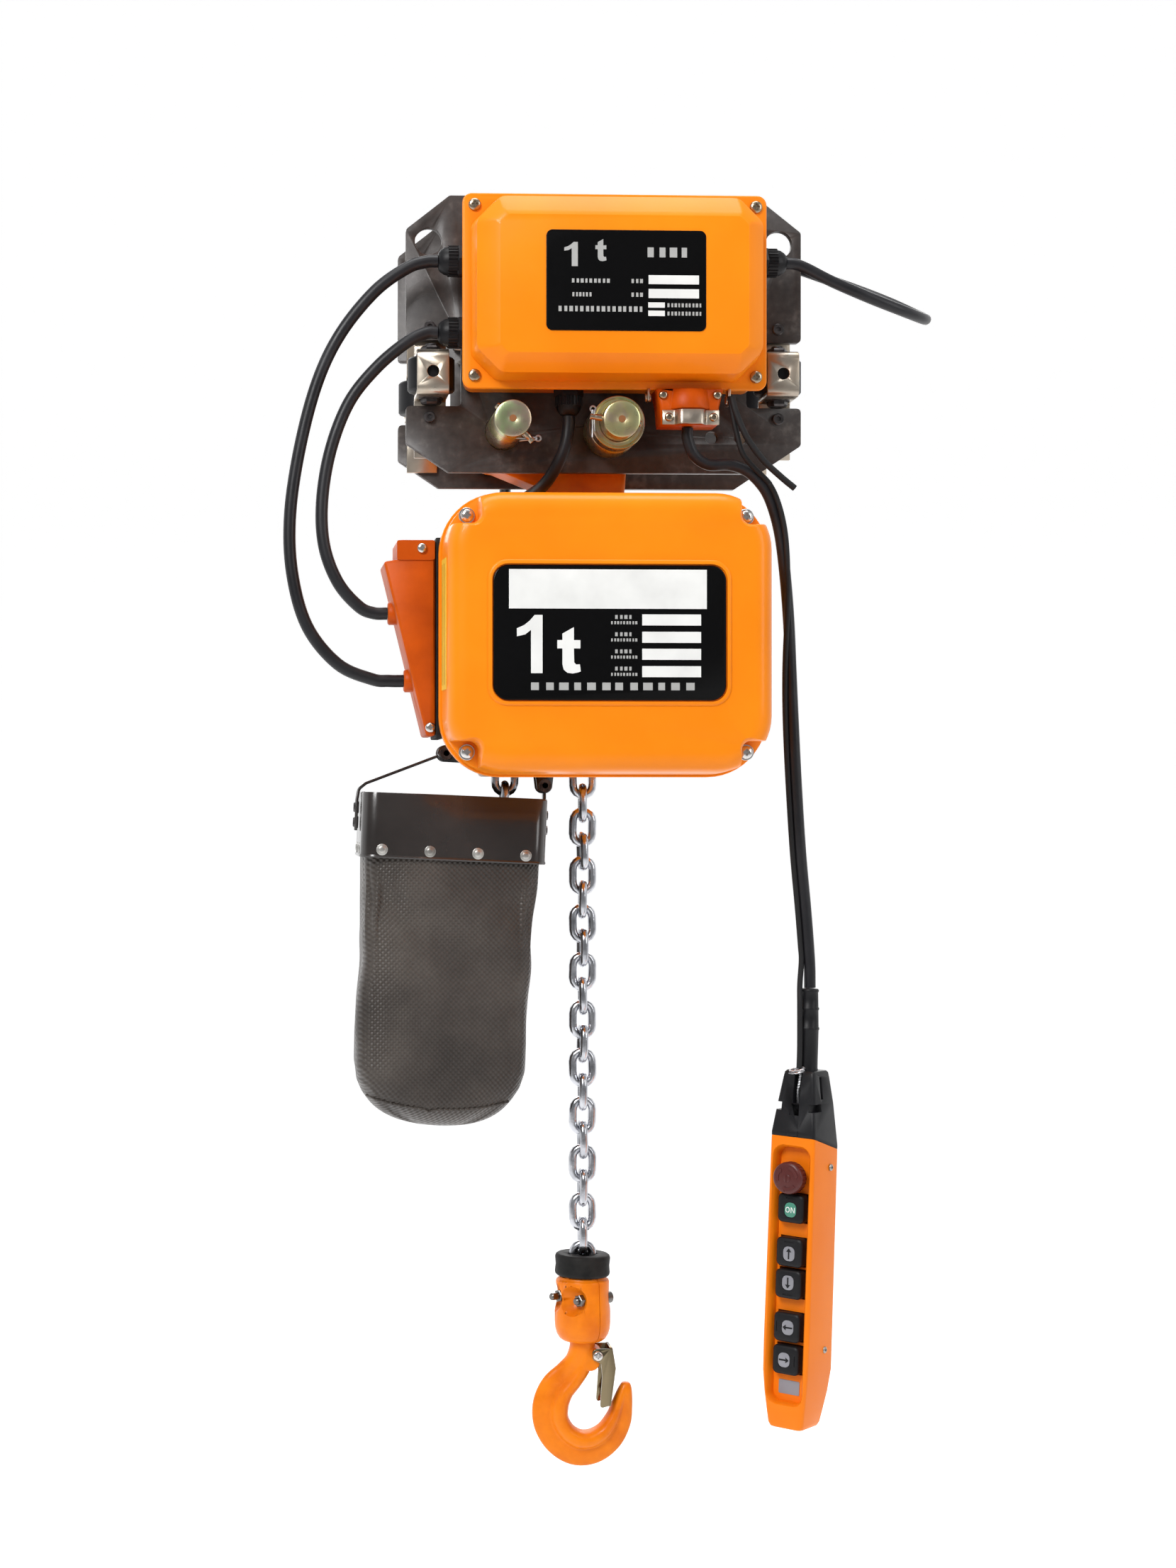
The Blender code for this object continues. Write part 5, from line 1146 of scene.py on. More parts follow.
def make_motor():
    """Ribbed motor housing, its end bell, and the fan's cowl with a slotted grille."""
    centre = (SHEAVE_X, AXIS_Z)
    fin = ((83.5, -0.3), (91.6, -0.17), (92.0, -0.1), (92.0, 0.1), (91.6, 0.17), (83.5, 0.3))
    housing = prism(repeated_round(centre, 40, fin), "Y", 86.0, 240.0)
    front = turned("Y", centre, [(92.5, 75.3), (94.0, 77.0), (94.0, 86.5), (92.0, 88.5)], 96)
    back = turned("Y", centre, [(90.0, 236.0), (92.0, 238.0), (92.0, 249.2), (91.2, 250.0)], 96)
    union(housing, front, back)
    pad = prism(rounded_rectangle((SHEAVE_X - 34.0, SHEAVE_X + 34.0), (-160.0, -137.0), 4.0, 4),
                "Y", 120.0, 190.0)
    union(housing, bevelled(pad, 1.5, 2, 50.0))
    cut(housing, cylinder("Y", centre, 62.0, 70.0, 240.0, 48), cylinder("Y", centre, 10.4, 230.0, 255.0, 40))
    piece(housing, "ribbed_motor_housing", M["orange"], "frame", ("motor_housing",))

    end = 250.0
    cowl = turned("Y", centre, [(93.0, end + 0.3), (93.0, end + 30.0), (92.0, end + 36.0), (89.0, end + 40.5),
                                (85.0, end + 42.0)], 96)
    inside = [(90.5, end - 1.0), (90.5, end + 33.0), (87.0, end + 38.5), (83.0, end + 39.4)]
    cut(cowl, turned("Y", centre, inside, 80))
    slots = []
    for row in range(-8, 9):
        rise = 8.6 * row
        z = AXIS_Z + rise
        half = math.sqrt(76.0 ** 2 - rise ** 2)
        for low, high in ((-half, -3.0), (3.0, half)):
            slots.append(prism(rounded_rectangle((SHEAVE_X + low, SHEAVE_X + high), (z - 2.1, z + 2.1), 2.0, 3),
                               "Y", end + 34.0, end + 46.0))
    cut(cowl, joined(slots))
    piece(cowl, "slotted_fan_cover", M["black"], "frame", ("fan_cover",))
    screws = [("X", (SHEAVE_X + side * 93.0, end + 8.0, AXIS_Z), side) for side in (-1, 1)]
    screws.append(("Z", (SHEAVE_X, end + 8.0, AXIS_Z - 93.0), -1))
    set_fasteners("fan_cover_screws", lambda: cross_screw(4.0, 2.6), screws, M["chrome"])


def make_plug_box():
    """Tapered socket box on the hoist's side, with its gasket, screws and the leads' entry bosses."""
    gasket = prism(rounded_rectangle((-131.0, -65.0), (-321.0, -156.0), 5.0, 5), "X", -149.0, -142.3)
    piece(bevelled(gasket, 0.8, 2, 50.0), "rubber_plug_gasket", M["stopper"], "frame", ("plug_gasket",))
    edge = -149.3
    outline = [(edge, -319.0), (-157.0, -319.0), (-192.0, -176.0), (-179.5, -174.0), (-179.5, -158.0),
               (edge, -158.0)]
    box = prism(rounded(outline, 2.5, 3), "Y", -128.0, -68.0)
    bevelled(box, 2.0, 3, 50.0)
    for start, z in ((-187.0, -216.5), (-173.7, -272.5)):
        boss = turned("X", (-98.0, z), [(8.4, start), (9.5, start + 1.0), (9.5, -160.0)], 48)
        union(box, boss)
    rib = prism(rounded([(-181.0, -174.5), (-150.0, -174.5), (-150.0, -158.5), (-181.0, -158.5)], 1.5, 2),
                "Y", -129.2, -66.8)
    union(box, rib)
    # The plug box's darker red orange includes painted shade.
    piece(box, "cast_plug_box", M["red_shaded"], "frame", ("plug_box",))
    screws = [("Y", (-160.5, -129.0, -165.0), -1), ("Y", (-153.6, -127.8, -312.0), -1)]
    set_fasteners("plug_box_screws", lambda: cross_screw(4.2, 3.0), screws, M["chrome"])


# ---------------------------------------------------------------- chain and hook

def link_mesh(bm, centre, turn, tilt, sides=12, per_bend=9):
    """One welded oval link: its plane is turned about Z, and then it is tilted."""
    wire = WIRE_RADIUS
    half_straight = 0.5 * (CHAIN_PITCH + 2.0 * wire - 2.0 * LINK_HALF_WIDTH)
    path = []
    for end, first in ((1.0, 0.0), (-1.0, 180.0)):
        for step in range(per_bend):
            angle = math.radians(first + 180.0 * step / (per_bend - 1))
            path.append((LINK_HALF_WIDTH * math.cos(angle),
                         end * half_straight + LINK_HALF_WIDTH * math.sin(angle), angle))
    place = Matrix.Translation(centre) @ tilt @ spin(turn, "Z")
    rings = []
    for across, up, angle in path:
        outward = Vector((math.cos(angle), 0.0, math.sin(angle)))
        ring = []
        for side in range(sides):
            around = 2.0 * math.pi * side / sides
            offset = outward * (wire * math.cos(around)) + Vector((0.0, wire * math.sin(around), 0.0))
            ring.append(bm.verts.new(place @ (Vector((across, 0.0, up)) + offset)))
        rings.append(ring)
    for index, lower in enumerate(rings):
        bridge(bm, lower, rings[(index + 1) % len(rings)])


def make_chain():
    bm = bmesh.new()
    first_z = -238.0 - 0.5 * CHAIN_PITCH
    for index in range(27):
        sway = 1.6 * math.sin(2.1 * index)
        turn = (90.0 if index % 2 == 0 else 0.0) + 5.0 * math.sin(1.7 * index + 0.4)
        lean = spin(sway, "Y") @ spin(0.8 * sway, "X")
        link_mesh(bm, Vector((LOAD_X, 0.0, first_z - index * CHAIN_PITCH)), turn, lean)
    piece(solid(bm), "chain_links", M["chain"], "hook_block", ("load_chain",), angle=60.0)


def make_slack_chain():
    """The stored end of the chain: it drops from the body into the bag and lies there in a heap."""
    bm = bmesh.new()
    place = Vector((SLACK_X, 0.0, -330.0))
    lean = spin(3.2, "Y")
    index = 0
    while place.z > -560.0:
        link_mesh(bm, place, 90.0 if index % 2 == 0 else 0.0, lean)
        place = place + Vector((-1.15, 0.0, -CHAIN_PITCH + 0.02))
        index += 1
    heap = Vector((-118.0, 0.0, -612.0))
    for number in range(34):
        angle = 2.399 * number
        reach = 9.0 + 34.0 * (((number * 7) % 11) / 11.0)
        spot = heap + Vector((reach * math.cos(angle), 0.72 * reach * math.sin(angle),
                              6.5 * (number // 6) - 0.10 * reach + 4.0))
        tumble = (Matrix.Rotation(1.9 * number, 4, "Z") @ Matrix.Rotation(0.5 * math.sin(3.0 * number), 4, "X")
                  @ Matrix.Rotation(math.radians(90.0 - 22.0 * math.cos(5.0 * number)), 4, "Y"))
        link_mesh(bm, spot, 90.0 * (number % 2), tumble, 8, 6)
    piece(solid(bm), "slack_chain", M["chain"], angle=60.0)


def make_stopper():
    low, high = -786.7, -768.0
    disc = turned("Z", (LOAD_X, 0.0), [(22.4, low), (23.6, low + 1.2), (24.0, low + 3.0), (23.4, low + 9.0),
                                       (24.0, high - 3.0), (23.4, high - 1.0), (22.0, high)], 72)
    slots = []
    for turn in (0.0, 90.0):
        slot = prism(rounded_rectangle((-13.2, 13.2), (-4.6, 4.6), 4.4, 6), "Z", low - 2.0, high + 2.0)
        slot.data.transform(Matrix.Translation((LOAD_X, 0.0, 0.0)) @ spin(turn + 5.0, "Z"))
        slots.append(slot)
    cut(disc, *slots)
    bevelled(disc, 0.5, 2, 50.0)
    tilt = Matrix.Translation((LOAD_X, 0.0, -777.0)) @ spin(1.2, "Y")
    disc.data.transform(tilt @ Matrix.Translation((-LOAD_X, 0.0, 777.0)))
    piece(disc, "rubber_chain_stopper", M["stopper"], "hook_block", ("chain_stopper",))


def make_block():
    """Two cast halves with a seam, drawn together by two through bolts."""
    low, high = -844.0, -787.0
    centre = (LOAD_X, 0.0)
    profile = [(14.0, low), (17.5, low + 0.6), (20.4, low + 2.8), (22.6, low + 6.6), (23.8, low + 11.0),
               (24.3, low + 17.0), (24.3, low + 26.0), (23.6, low + 36.0), (23.1, low + 46.0),
               (23.2, high - 5.0), (22.6, high - 3.4), (21.2, high - 2.6), (20.6, high - 1.2), (20.0, high)]
    nut_seat = [(6.6, 11.6), (8.0, 12.4), (10.2, 15.0), (13.5, 21.0), (17.0, 30.0)]
    head_seat = [(6.4, 13.6), (6.9, 15.0), (8.0, 30.0)]
    for name, keep in (("hook_block_front", NUT_SIDE), ("hook_block_rear", HEAD_SIDE)):
        half = turned("Z", centre, profile, 72)
        cutter = moved(block((-40.0, 40.0), (-60.0, 0.32), (low - 10.0, high + 10.0)),
                       Matrix.Translation((LOAD_X, 0.0, 0.0)) @ spin(keep - 90.0, "Z"))
        hollow = [turned("Z", centre, [(11.6, low - 1.0), (11.6, low + 6.0)], 40),
                  turned("Z", centre, [(16.5, low + 5.0), (16.5, low + 20.0)], 40),
                  turned("Z", centre, [(12.6, low + 26.0), (12.6, high + 1.0)], 40)]
        seats = [moved(turned("Z", (0.0, 0.0), seat, 40), bolt_frame(side, offset))
                 for side, seat in ((NUT_SIDE, nut_seat), (HEAD_SIDE, head_seat)) for offset in BOLT_OFFSETS]
        cut(half, *hollow, *seats, cutter)
        bevelled(half, 0.8, 3, 38.0)
        piece(half, "cast_" + name, M["cast"], "hook_block", (name,), angle=40.0)
    bolts = []
    for offset, end in zip(BOLT_OFFSETS, (19.4, 24.0)):
        chamfers = [(4.9, 11.7), (5.6, 12.1), (5.6, 16.0), (4.9, 16.6)]
        nut = turned("Z", (0.0, 0.0), chamfers, 6, math.radians(15.0))
        thread = turned("Z", (0.0, 0.0), [(3.1, 15.0), (3.1, end - 0.8), (2.4, end)], 24)
        bolts += [moved(item, bolt_frame(NUT_SIDE, offset)) for item in (nut, thread)]
        bolts.append(moved(socket_head(5.2, 6.0),
                           bolt_frame(HEAD_SIDE, offset) @ Matrix.Translation((0.0, 0.0, 13.8))))
    piece(joined(bolts), "hook_block_bolts", M["bolt"], "hook_block")


def bolt_frame(side, offset):
    """Frame on the block's axis with +Z pointing to one side, set off along the seam."""
    direction = Vector((math.cos(math.radians(side)), math.sin(math.radians(side)), 0.0))
    seam = math.radians(NUT_SIDE + 90.0)
    place = Vector((LOAD_X, 0.0, BLOCK_BOLT_Z)) + offset * Vector((math.cos(seam), math.sin(seam), 0.0))
    return Matrix.Translation(place) @ direction.to_track_quat("Z", "Y").to_matrix().to_4x4()


def swept_bar(stations, sides=64, power=2.5):
    """Skin sections along a bent bar in the XZ plane: stations of (x, z, width, depth, ridge).

    Ridge blends a plain rounded section into one with a thick inner bead and a thinner outer web.
    """
    dense = curve_through(stations, 6)
    bm = bmesh.new()
    rings = []
    for index, (x, z, width, depth, ridge) in enumerate(dense):
        before, after = dense[max(index - 1, 0)], dense[min(index + 1, len(dense) - 1)]
        direction = Vector((after[0] - before[0], 0.0, after[1] - before[1])).normalized()
        across = Vector((direction.z, 0.0, -direction.x))
        ring = []
        for side in range(sides):
            angle = 2.0 * math.pi * side / sides
            u = signed_power(math.cos(angle), 2.0 / power)
            full = abs(math.sin(angle)) ** (2.0 / power)
            bead = max(0.0, 1.0 - abs((u + 0.5) / 0.5) ** 2.6) ** 0.5 if u < 0.0 else 0.0
            web = 0.45 * full
            v = math.copysign(full + (max(bead, web) - full) * ridge, math.sin(angle))
            ring.append(bm.verts.new(Vector((x, 0.0, z)) + across * (0.5 * width * u)
                                     + Vector((0.0, 0.5 * depth * v, 0.0))))
        rings.append(ring)
    return capped(bm, rings)


def signed_power(value, power):
    return math.copysign(abs(value) ** power, value)


def capped(bm, rings):
    """Close a row of rings into a solid."""
    for lower, upper in zip(rings, rings[1:]):
        bridge(bm, lower, upper)
    bm.faces.new(rings[0])
    bm.faces.new(rings[-1])
    return solid(bm)


def make_hook():
    """Forged hook with a rounded tip, a thick inner bead and an ear for the latch's pin."""
    x = LOAD_X
    stations = [(x, -842.0, 22.0, 22.0, 0.0), (x - 0.5, -852.0, 22.0, 22.0, 0.0),
                (x - 4.0, -864.0, 24.0, 22.0, 0.3), (x - 12.5, -875.0, 27.0, 22.5, 0.8),
                (x - 22.5, -886.0, 30.0, 23.5, 1.0),
                (x - 28.0, -900.0, 31.5, 25.0, 1.0), (x - 27.5, -915.0, 31.5, 25.0, 1.0),
                (x - 19.5, -929.0, 31.5, 25.0, 1.0), (x - 6.0, -937.5, 31.5, 25.0, 1.0),
                (x + 9.0, -937.0, 30.0, 24.0, 1.0), (x + 22.5, -928.5, 27.0, 22.0, 1.0),
                (x + 31.0, -915.0, 23.5, 20.0, 0.9), (x + 34.5, -902.0, 19.0, 17.0, 0.6),
                (x + 36.8, -891.0, 14.2, 14.0, 0.2), (x + 38.0, -884.6, 10.2, 11.0, 0.0),
                (x + 38.4, -881.8, 7.0, 8.0, 0.0), (x + 38.5, -880.9, 3.6, 4.0, 0.0)]
    hook = swept_bar(stations)
    ear = hull_of_circles((*LATCH_PIVOT, 5.5), (x + 6.0, -861.0, 8.0), 48)
    union(hook, turned("Z", (x, 0.0), [(11.0, -846.0), (11.0, -836.0)], 48),
          turned("Z", (x, 0.0), [(15.5, -837.5), (15.5, -826.0)], 48), prism(ear, "Y", -10.5, 10.5))
    remeshed(hook, 0.8, 2)
    piece(hook, "forged_hook", M["cast"], "hook", ("hook",), angle=80.0)
    piece(cylinder("Y", LATCH_PIVOT, 2.6, -14.2, 14.2, 32, 0.4), "latch_pin", M["steel"], "hook")
    ends = [("Y", (LATCH_PIVOT[0], side * 13.6, LATCH_PIVOT[1]), side) for side in (-1, 1)]
    set_fasteners("latch_rivet", lambda: cross_screw(4.3, 2.2), ends, M["chrome"], "hook")


def make_latch():
    """Folded sheet latch: two cheeks on the pin, joined by the web that closes the throat."""
    outer = [(13.9, -848.6), (16.8, -866.0), (12.5, -899.0)]
    web = outer + [(x - 2.0, z) for x, z in reversed(outer)]
    latch = prism(web, "Y", -13.4, 13.4)
    cheek = rounded([(-3.5, -858.5), (-3.5, -851.0), (0.0, -849.2), (13.4, -849.2), (16.2, -866.0),
                     (12.0, -898.4), (3.0, -901.0), (5.0, -873.0), (4.0, -862.0)], 2.4, 4)
    for side in (-1, 1):
        union(latch, prism(cheek, "Y", side * 11.5, side * 13.4))
    cut(latch, cylinder("Y", LATCH_PIVOT, 3.0, -20.0, 20.0, 40))
    bevelled(latch, 0.45, 2, 40.0)
    piece(latch, "folded_safety_latch", M["latch"], "safety_latch", ("safety_latch",))


# ---------------------------------------------------------------- chain bag

def bag_matrix():
    return Matrix.Translation(BAG_TOP) @ spin(BAG_TILT, "Y")


def make_bag_rim():
    """Pressed steel rim with rolled edges, rivets along its lower edge and its side bolts."""
    low = -56.0
    half_x, half_y = 79.5, 52.0

    def outline(inset, radius):
        return rounded_rectangle((inset - half_x, half_x - inset), (inset - half_y, half_y - inset), radius, 10)

    rim = loft([(low, outline(0.0, 14.0)), (-1.6, outline(0.0, 14.0)), (-0.3, outline(0.6, 13.4)),
                (0.0, outline(1.4, 12.6))], "Z")
    cut(rim, prism(outline(2.5, 11.5), "Z", low - 1.0, 1.0))
    bead = loft([(low - 0.1, outline(-0.4, 14.4)), (low + 1.0, outline(-0.9, 14.9)),
                 (low + 2.4, outline(-0.3, 14.3))], "Z")
    cut(bead, prism(outline(2.0, 12.0), "Z", low - 1.0, low + 4.0))
    piece(moved(joined([rim, bead]), bag_matrix()), "pressed_bag_rim", M["rim"], "frame", ("bag_rim",))

    height = -49.0
    rivets = []
    for x in (-61.5, -20.5, 20.5, 61.5):
        rivets += [("Y", (x, side * half_y, height), side) for side in (-1, 1)]
    rivets += [("X", (side * half_x, y, height), side) for side in (-1, 1) for y in (-22.0, 22.0)]
    set_fasteners("bag_rivets", lambda: rivet(4.9, 1.4), rivets, M["steel"], "frame", bag_matrix())
    bolts = [("X", (side * (half_x + 1.6), 0.0, z), side) for side in (-1, 1) for z in (-14.0, -27.0)]
    set_fasteners("bag_side_bolts", lambda: hex_head(4.2, 4.0), bolts, M["dark_steel"], "frame", bag_matrix())


def rivet(radius, height):
    """Washer ring with a small dome in it."""
    return turned("Z", (0.0, 0.0), [(radius, 0.0), (radius, 0.25 * height), (0.92 * radius, 0.36 * height),
                                    (0.66 * radius, 0.36 * height), (0.62 * radius, 0.42 * height),
                                    (0.57 * radius, 0.72 * height), (0.4 * radius, 0.95 * height),
                                    (0.06 * radius, height)], 32)


# Rings of the bag: depth below its top, half width, half depth
BAG_RINGS = [(6.0, 75.6, 48.4), (30.0, 75.8, 48.6), (62.0, 76.2, 48.8), (100.0, 76.8, 49.0), (140.0, 77.8, 49.2),
             (180.0, 78.8, 49.4), (212.0, 79.0, 49.4), (236.0, 77.8, 49.2), (250.0, 74.6, 48.8),
             (260.0, 69.5, 48.0), (267.5, 63.5, 46.0), (272.5, 56.0, 41.0), (277.5, 44.5, 32.5),
             (281.2, 31.0, 22.0), (283.4, 15.0, 11.0), (284.0, 4.0, 3.0)]


def bag_surface(columns=112):
    """Open shell of the sewn bag, as it hangs before its fabric settles."""
    bm = bmesh.new()
    rings = []
    for depth, half_x, half_y in BAG_RINGS:
        power = 0.36 + 0.5 * max(0.0, depth - 240.0) / 37.0
        ring = []
        for column in range(columns):
            angle = 2.0 * math.pi * column / columns
            ring.append(bm.verts.new((half_x * signed_power(math.cos(angle), power),
                                      half_y * signed_power(math.sin(angle), power), -depth)))
        rings.append(ring)
    for lower, upper in zip(rings, rings[1:]):
        bridge(bm, lower, upper)
    bm.faces.new(rings[-1])
    return solid(bm)


def make_bag():
    """Coated fabric bag: the shell is cut evenly, relaxed as cloth from its riveted top, then thickened."""
    bag = bag_surface()
    bm = bmesh.new()
    bm.from_mesh(bag.data)
    tall = [edge for edge in bm.edges if abs(edge.verts[0].co.z - edge.verts[1].co.z) > 9.0]
    bmesh.ops.subdivide_edges(bm, edges=tall, cuts=5, use_grid_fill=True)
    bm.to_mesh(bag.data)
    bm.free()
    relax_cloth(bag)
    wrinkle(bag)
    smooth = bag.modifiers.new("smooth", "SUBSURF")
    smooth.levels = 1
    thick = bag.modifiers.new("thickness", "SOLIDIFY")
    thick.thickness = 1.3
    thick.offset = 0.0
    bake(bag)
    seams = make_bag_seams(bag)
    bag.data.transform(bag_matrix())
    cloth = piece(bag, "sewn_chain_bag", M["fabric"], "frame", ("chain_bag",), angle=80.0)


def relax_cloth(bag):
    """Let the fabric settle under its own weight with its rim held."""
    bag.data.transform(Matrix.Scale(MM, 4))
    held = bag.vertex_groups.new(name="rim")
    rest = [vertex.co.copy() for vertex in bag.data.vertices]
    for vertex in bag.data.vertices:
        if vertex.co.z > -0.050:
            held.add([vertex.index], 1.0, "REPLACE")
        elif vertex.co.z > -0.075:
            held.add([vertex.index], 0.4, "REPLACE")
    cloth = bag.modifiers.new("cloth", "CLOTH")
    settings = cloth.settings
    settings.quality = 8
    settings.mass = 0.9
    settings.tension_stiffness = 60.0
    settings.compression_stiffness = 60.0
    settings.shear_stiffness = 20.0
    settings.bending_stiffness = 6.0
    settings.air_damping = 2.0
    settings.vertex_group_mass = "rim"
    settings.pin_stiffness = 1.0
    settings.use_pressure = True
    settings.uniform_pressure_force = 0.25
    settings.effector_weights.gravity = 0.6
    cloth.collision_settings.use_collision = False
    cloth.collision_settings.use_self_collision = False
    scene = bpy.context.scene
    for step in range(1, 25):
        scene.frame_set(step)
    bake(bag)
    scene.frame_set(1)
    for vertex, before in zip(bag.data.vertices, rest):
        shift = vertex.co - before
        if shift.length > SETTLE_LIMIT:
            vertex.co = before + shift * (SETTLE_LIMIT / shift.length)
    bag.data.transform(Matrix.Scale(1.0 / MM, 4))


def wrinkle(bag):
    """Soft folds: diagonal drifts over the faces, a narrower right side and a kink in its edge."""
    for vertex in bag.data.vertices:
        place = vertex.co
        depth = -place.z
        if depth < 40.0:
            continue
        fade = min(1.0, (depth - 40.0) / 60.0)
        slope = place.x * 0.8 - place.z * 0.6
        rise = place.x * 0.6 + place.z * 0.8
        drift = noise.noise(Vector((slope * 0.006, place.y * 0.02, rise * 0.024 + 3.0)))
        fine = noise.noise(Vector((place.x * 0.045, place.y * 0.05, place.z * 0.035)))
        outward = Vector((place.x / 76.0, place.y / 49.0, 0.0))
        if outward.length > 0.0:
            outward.normalize()
        amount = (3.4 * drift + 0.8 * fine - 0.6) * fade
        edge = max(0.0, min(1.0, place.x / 76.0))
        taper = min(1.0, max(0.0, (depth - 70.0) / 140.0))
        kink = -2.5 * edge * taper * taper * (3.0 - 2.0 * taper)
        kink -= 1.2 * edge * math.exp(-((depth - 128.0) / 14.0) ** 2)
        left = max(0.0, min(1.0, -place.x / 76.0))
        kink += 2.2 * left * math.exp(-((depth - 150.0) / 20.0) ** 2)
        vertex.co = place + outward * amount + Vector((kink, 0.0, 0.0))


def make_bag_seams(bag):
    """Bound seam of the bottom panel, laid on the fabric's front and back."""
    skin = BVHTree.FromPolygons([vertex.co for vertex in bag.data.vertices],
                                [polygon.vertices for polygon in bag.data.polygons])
    lines = []
    for side in (-1, 1):
        points = []
        for step in range(31):
            share = step / 15.0 - 1.0
            x = 61.0 * share - 3.0
            kink = 2.2 * math.exp(-((share + 0.12) / 0.06) ** 2)
            depth = 261.5 + 8.0 * (1.0 - abs(share) ** 2.2) + kink
            hit = skin.ray_cast(Vector((x, side * 90.0, -depth)), Vector((0.0, -side, 0.0)))[0]
            if hit is not None:
                points.append(hit + Vector((0.0, side * 0.4, 0.0)))
        lines.append(swept_wire(points, 1.15, 8, 2))
    return piece(moved(joined(lines), bag_matrix()), "bag_seam", M["fabric"])


def make_straps():
    """Flat steel straps from the body's lugs to the rim."""
    paths = {"bag_strap_left": [(-127.0, -329.5), (-137.0, -333.0), (-200.5, -357.0), (-206.6, -362.0),
                                (-208.2, -371.0), (-209.4, -398.0)],
             "bag_strap_right": [(-44.5, -353.0), (-44.4, -372.0), (-44.9, -400.0)]}
    for node, path in paths.items():
        strap = prism(bent_strip(path, 2.5, 6.0), "Y", -5.6, 5.6)
        piece(bevelled(strap, 0.5, 2, 50.0), "steel_" + node, M["rim"], "frame", (node,))
    eyes = []
    for y in (-9.5, 6.6):
        eyes.append(prism(hull_of_circles((-131.5, -331.0, 7.2), (-118.0, -331.0, 8.0), 40), "Y", y, y + 2.9))
        eyes.append(prism(hull_of_circles((-45.0, -359.0, 6.8), (-45.0, -349.0, 8.0), 40), "Y", y, y + 2.9))
    piece(bevelled(joined(eyes), 0.5, 2, 50.0), "strap_eyes", M["rim"])


def slanted(item):
    """Lean the joint between cap and shell, so that it falls toward the handset's back."""
    for vertex in item.data.vertices:
        if -127.0 < vertex.co.z < -118.5:
            vertex.co.z -= 0.27 * (vertex.co.y + 22.5)


# ---------------------------------------------------------------- pendant

def pendant_matrix():
    lean = spin(PENDANT_LEAN, "Y")
    turn = spin(PENDANT_TURN, "Z")
    return Matrix.Translation(PENDANT_TOP) @ lean @ turn


def handset_section(height, half_width, front, back, corner):
    return height, rounded_rectangle((-half_width, half_width), (-front, back), corner, 6)


def make_pendant_cap():
    """Moulded cap with a ringed cable boot, side notches and a slot for the safety wire."""
    cap = loft([handset_section(-122.0, 20.0, 22.5, 22.5, 2.6), handset_section(-119.0, 20.0, 22.5, 22.5, 2.6),
                handset_section(-95.0, 17.2, 18.9, 17.6, 2.6), handset_section(-74.0, 14.6, 15.4, 14.0, 2.6),
                handset_section(-69.5, 13.8, 14.6, 13.2, 2.6),
                handset_section(-68.0, 12.4, 13.2, 12.0, 2.4)], "Z")
    slanted(cap)
    slot = block((-3.4, 3.4), (-30.0, -9.5), (-95.0, -66.0))
    pocket = block((-4.8, 4.8), (-30.0, -9.0), (-104.5, -95.2))
    side_slot = block((11.0, 18.2), (-6.0, -2.0), (-91.0, -72.5))
    notches = [block((side * 12.4, side * 24.0), (-24.0, -6.5), (-101.0, -94.5)) for side in (-1, 1)]
    cut(cap, slot, pocket, side_slot, *notches)
    union(cap, block((-4.6, 4.6), (-23.2, -19.5), (-121.4, -117.2)))
    bevelled(cap, 0.7, 3, 35.0)
    inner = [block((-4.7, 4.7), (-15.5, -9.5), (-99.0, -96.0)),
             cylinder("Y", (0.4, -101.8), 1.6, -16.5, -9.5, 24, 0.3)]
    profile = [(9.4, -70.0), (8.6, -66.0), (8.5, -60.0)]
    for lip, base, radius in ((-33.0, -34.6, 8.4), (-16.5, -18.0, 7.7), (-1.5, -3.0, 7.0)):
        profile += [(radius, base), (radius + 0.5, base + 0.6), (radius + 0.5, lip + 0.6),
                    (radius - 0.1, lip + 1.2)]
    profile += [(6.6, 0.0)]
    boot = turned("Z", (0.0, 0.0), profile, 40)
    item = moved(joined([cap, boot, *inner]), pendant_matrix())
    piece(item, "moulded_pendant_cap", M["black"], "frame", ("pendant_cap",))
    make_safety_wire()


def make_safety_wire():
    """Braided wire from the rope's knot down into the cap's slot."""
    matrix = pendant_matrix()
    places = ((-0.6, -12.4, -100.5), (-0.4, -14.0, -92.0), (0.0, -14.6, -84.0), (0.5, -14.2, -77.0),
              (1.0, -13.2, -70.5))
    straight = [matrix @ Vector(place) for place in places]
    loop = []
    for step in range(29):
        angle = 2.0 * math.pi * step / 14
        drift = 0.9 if step < 14 else -0.9
        loop.append(matrix @ Vector((-3.0 + 6.2 * math.cos(angle), -12.6 + 2.6 * math.sin(angle) + 0.4 * drift,
                                     -68.2 + 1.6 * math.sin(angle + 0.9) + drift)))
    items = []
    for index in range(3):
        for path, radius in ((straight, 0.72), (loop, 0.8)):
            twisted = []
            dense = curve_through(path, 6)
            for place, here in enumerate(dense):
                turn = 1.1 * place + 2.1 * index
                twisted.append(here + 0.5 * Vector((math.cos(turn), math.sin(turn), 0.4 * math.sin(turn))))
            items.append(swept_wire(twisted, radius, 6, 1))
    piece(joined(items), "safety_wire", M["wire"])


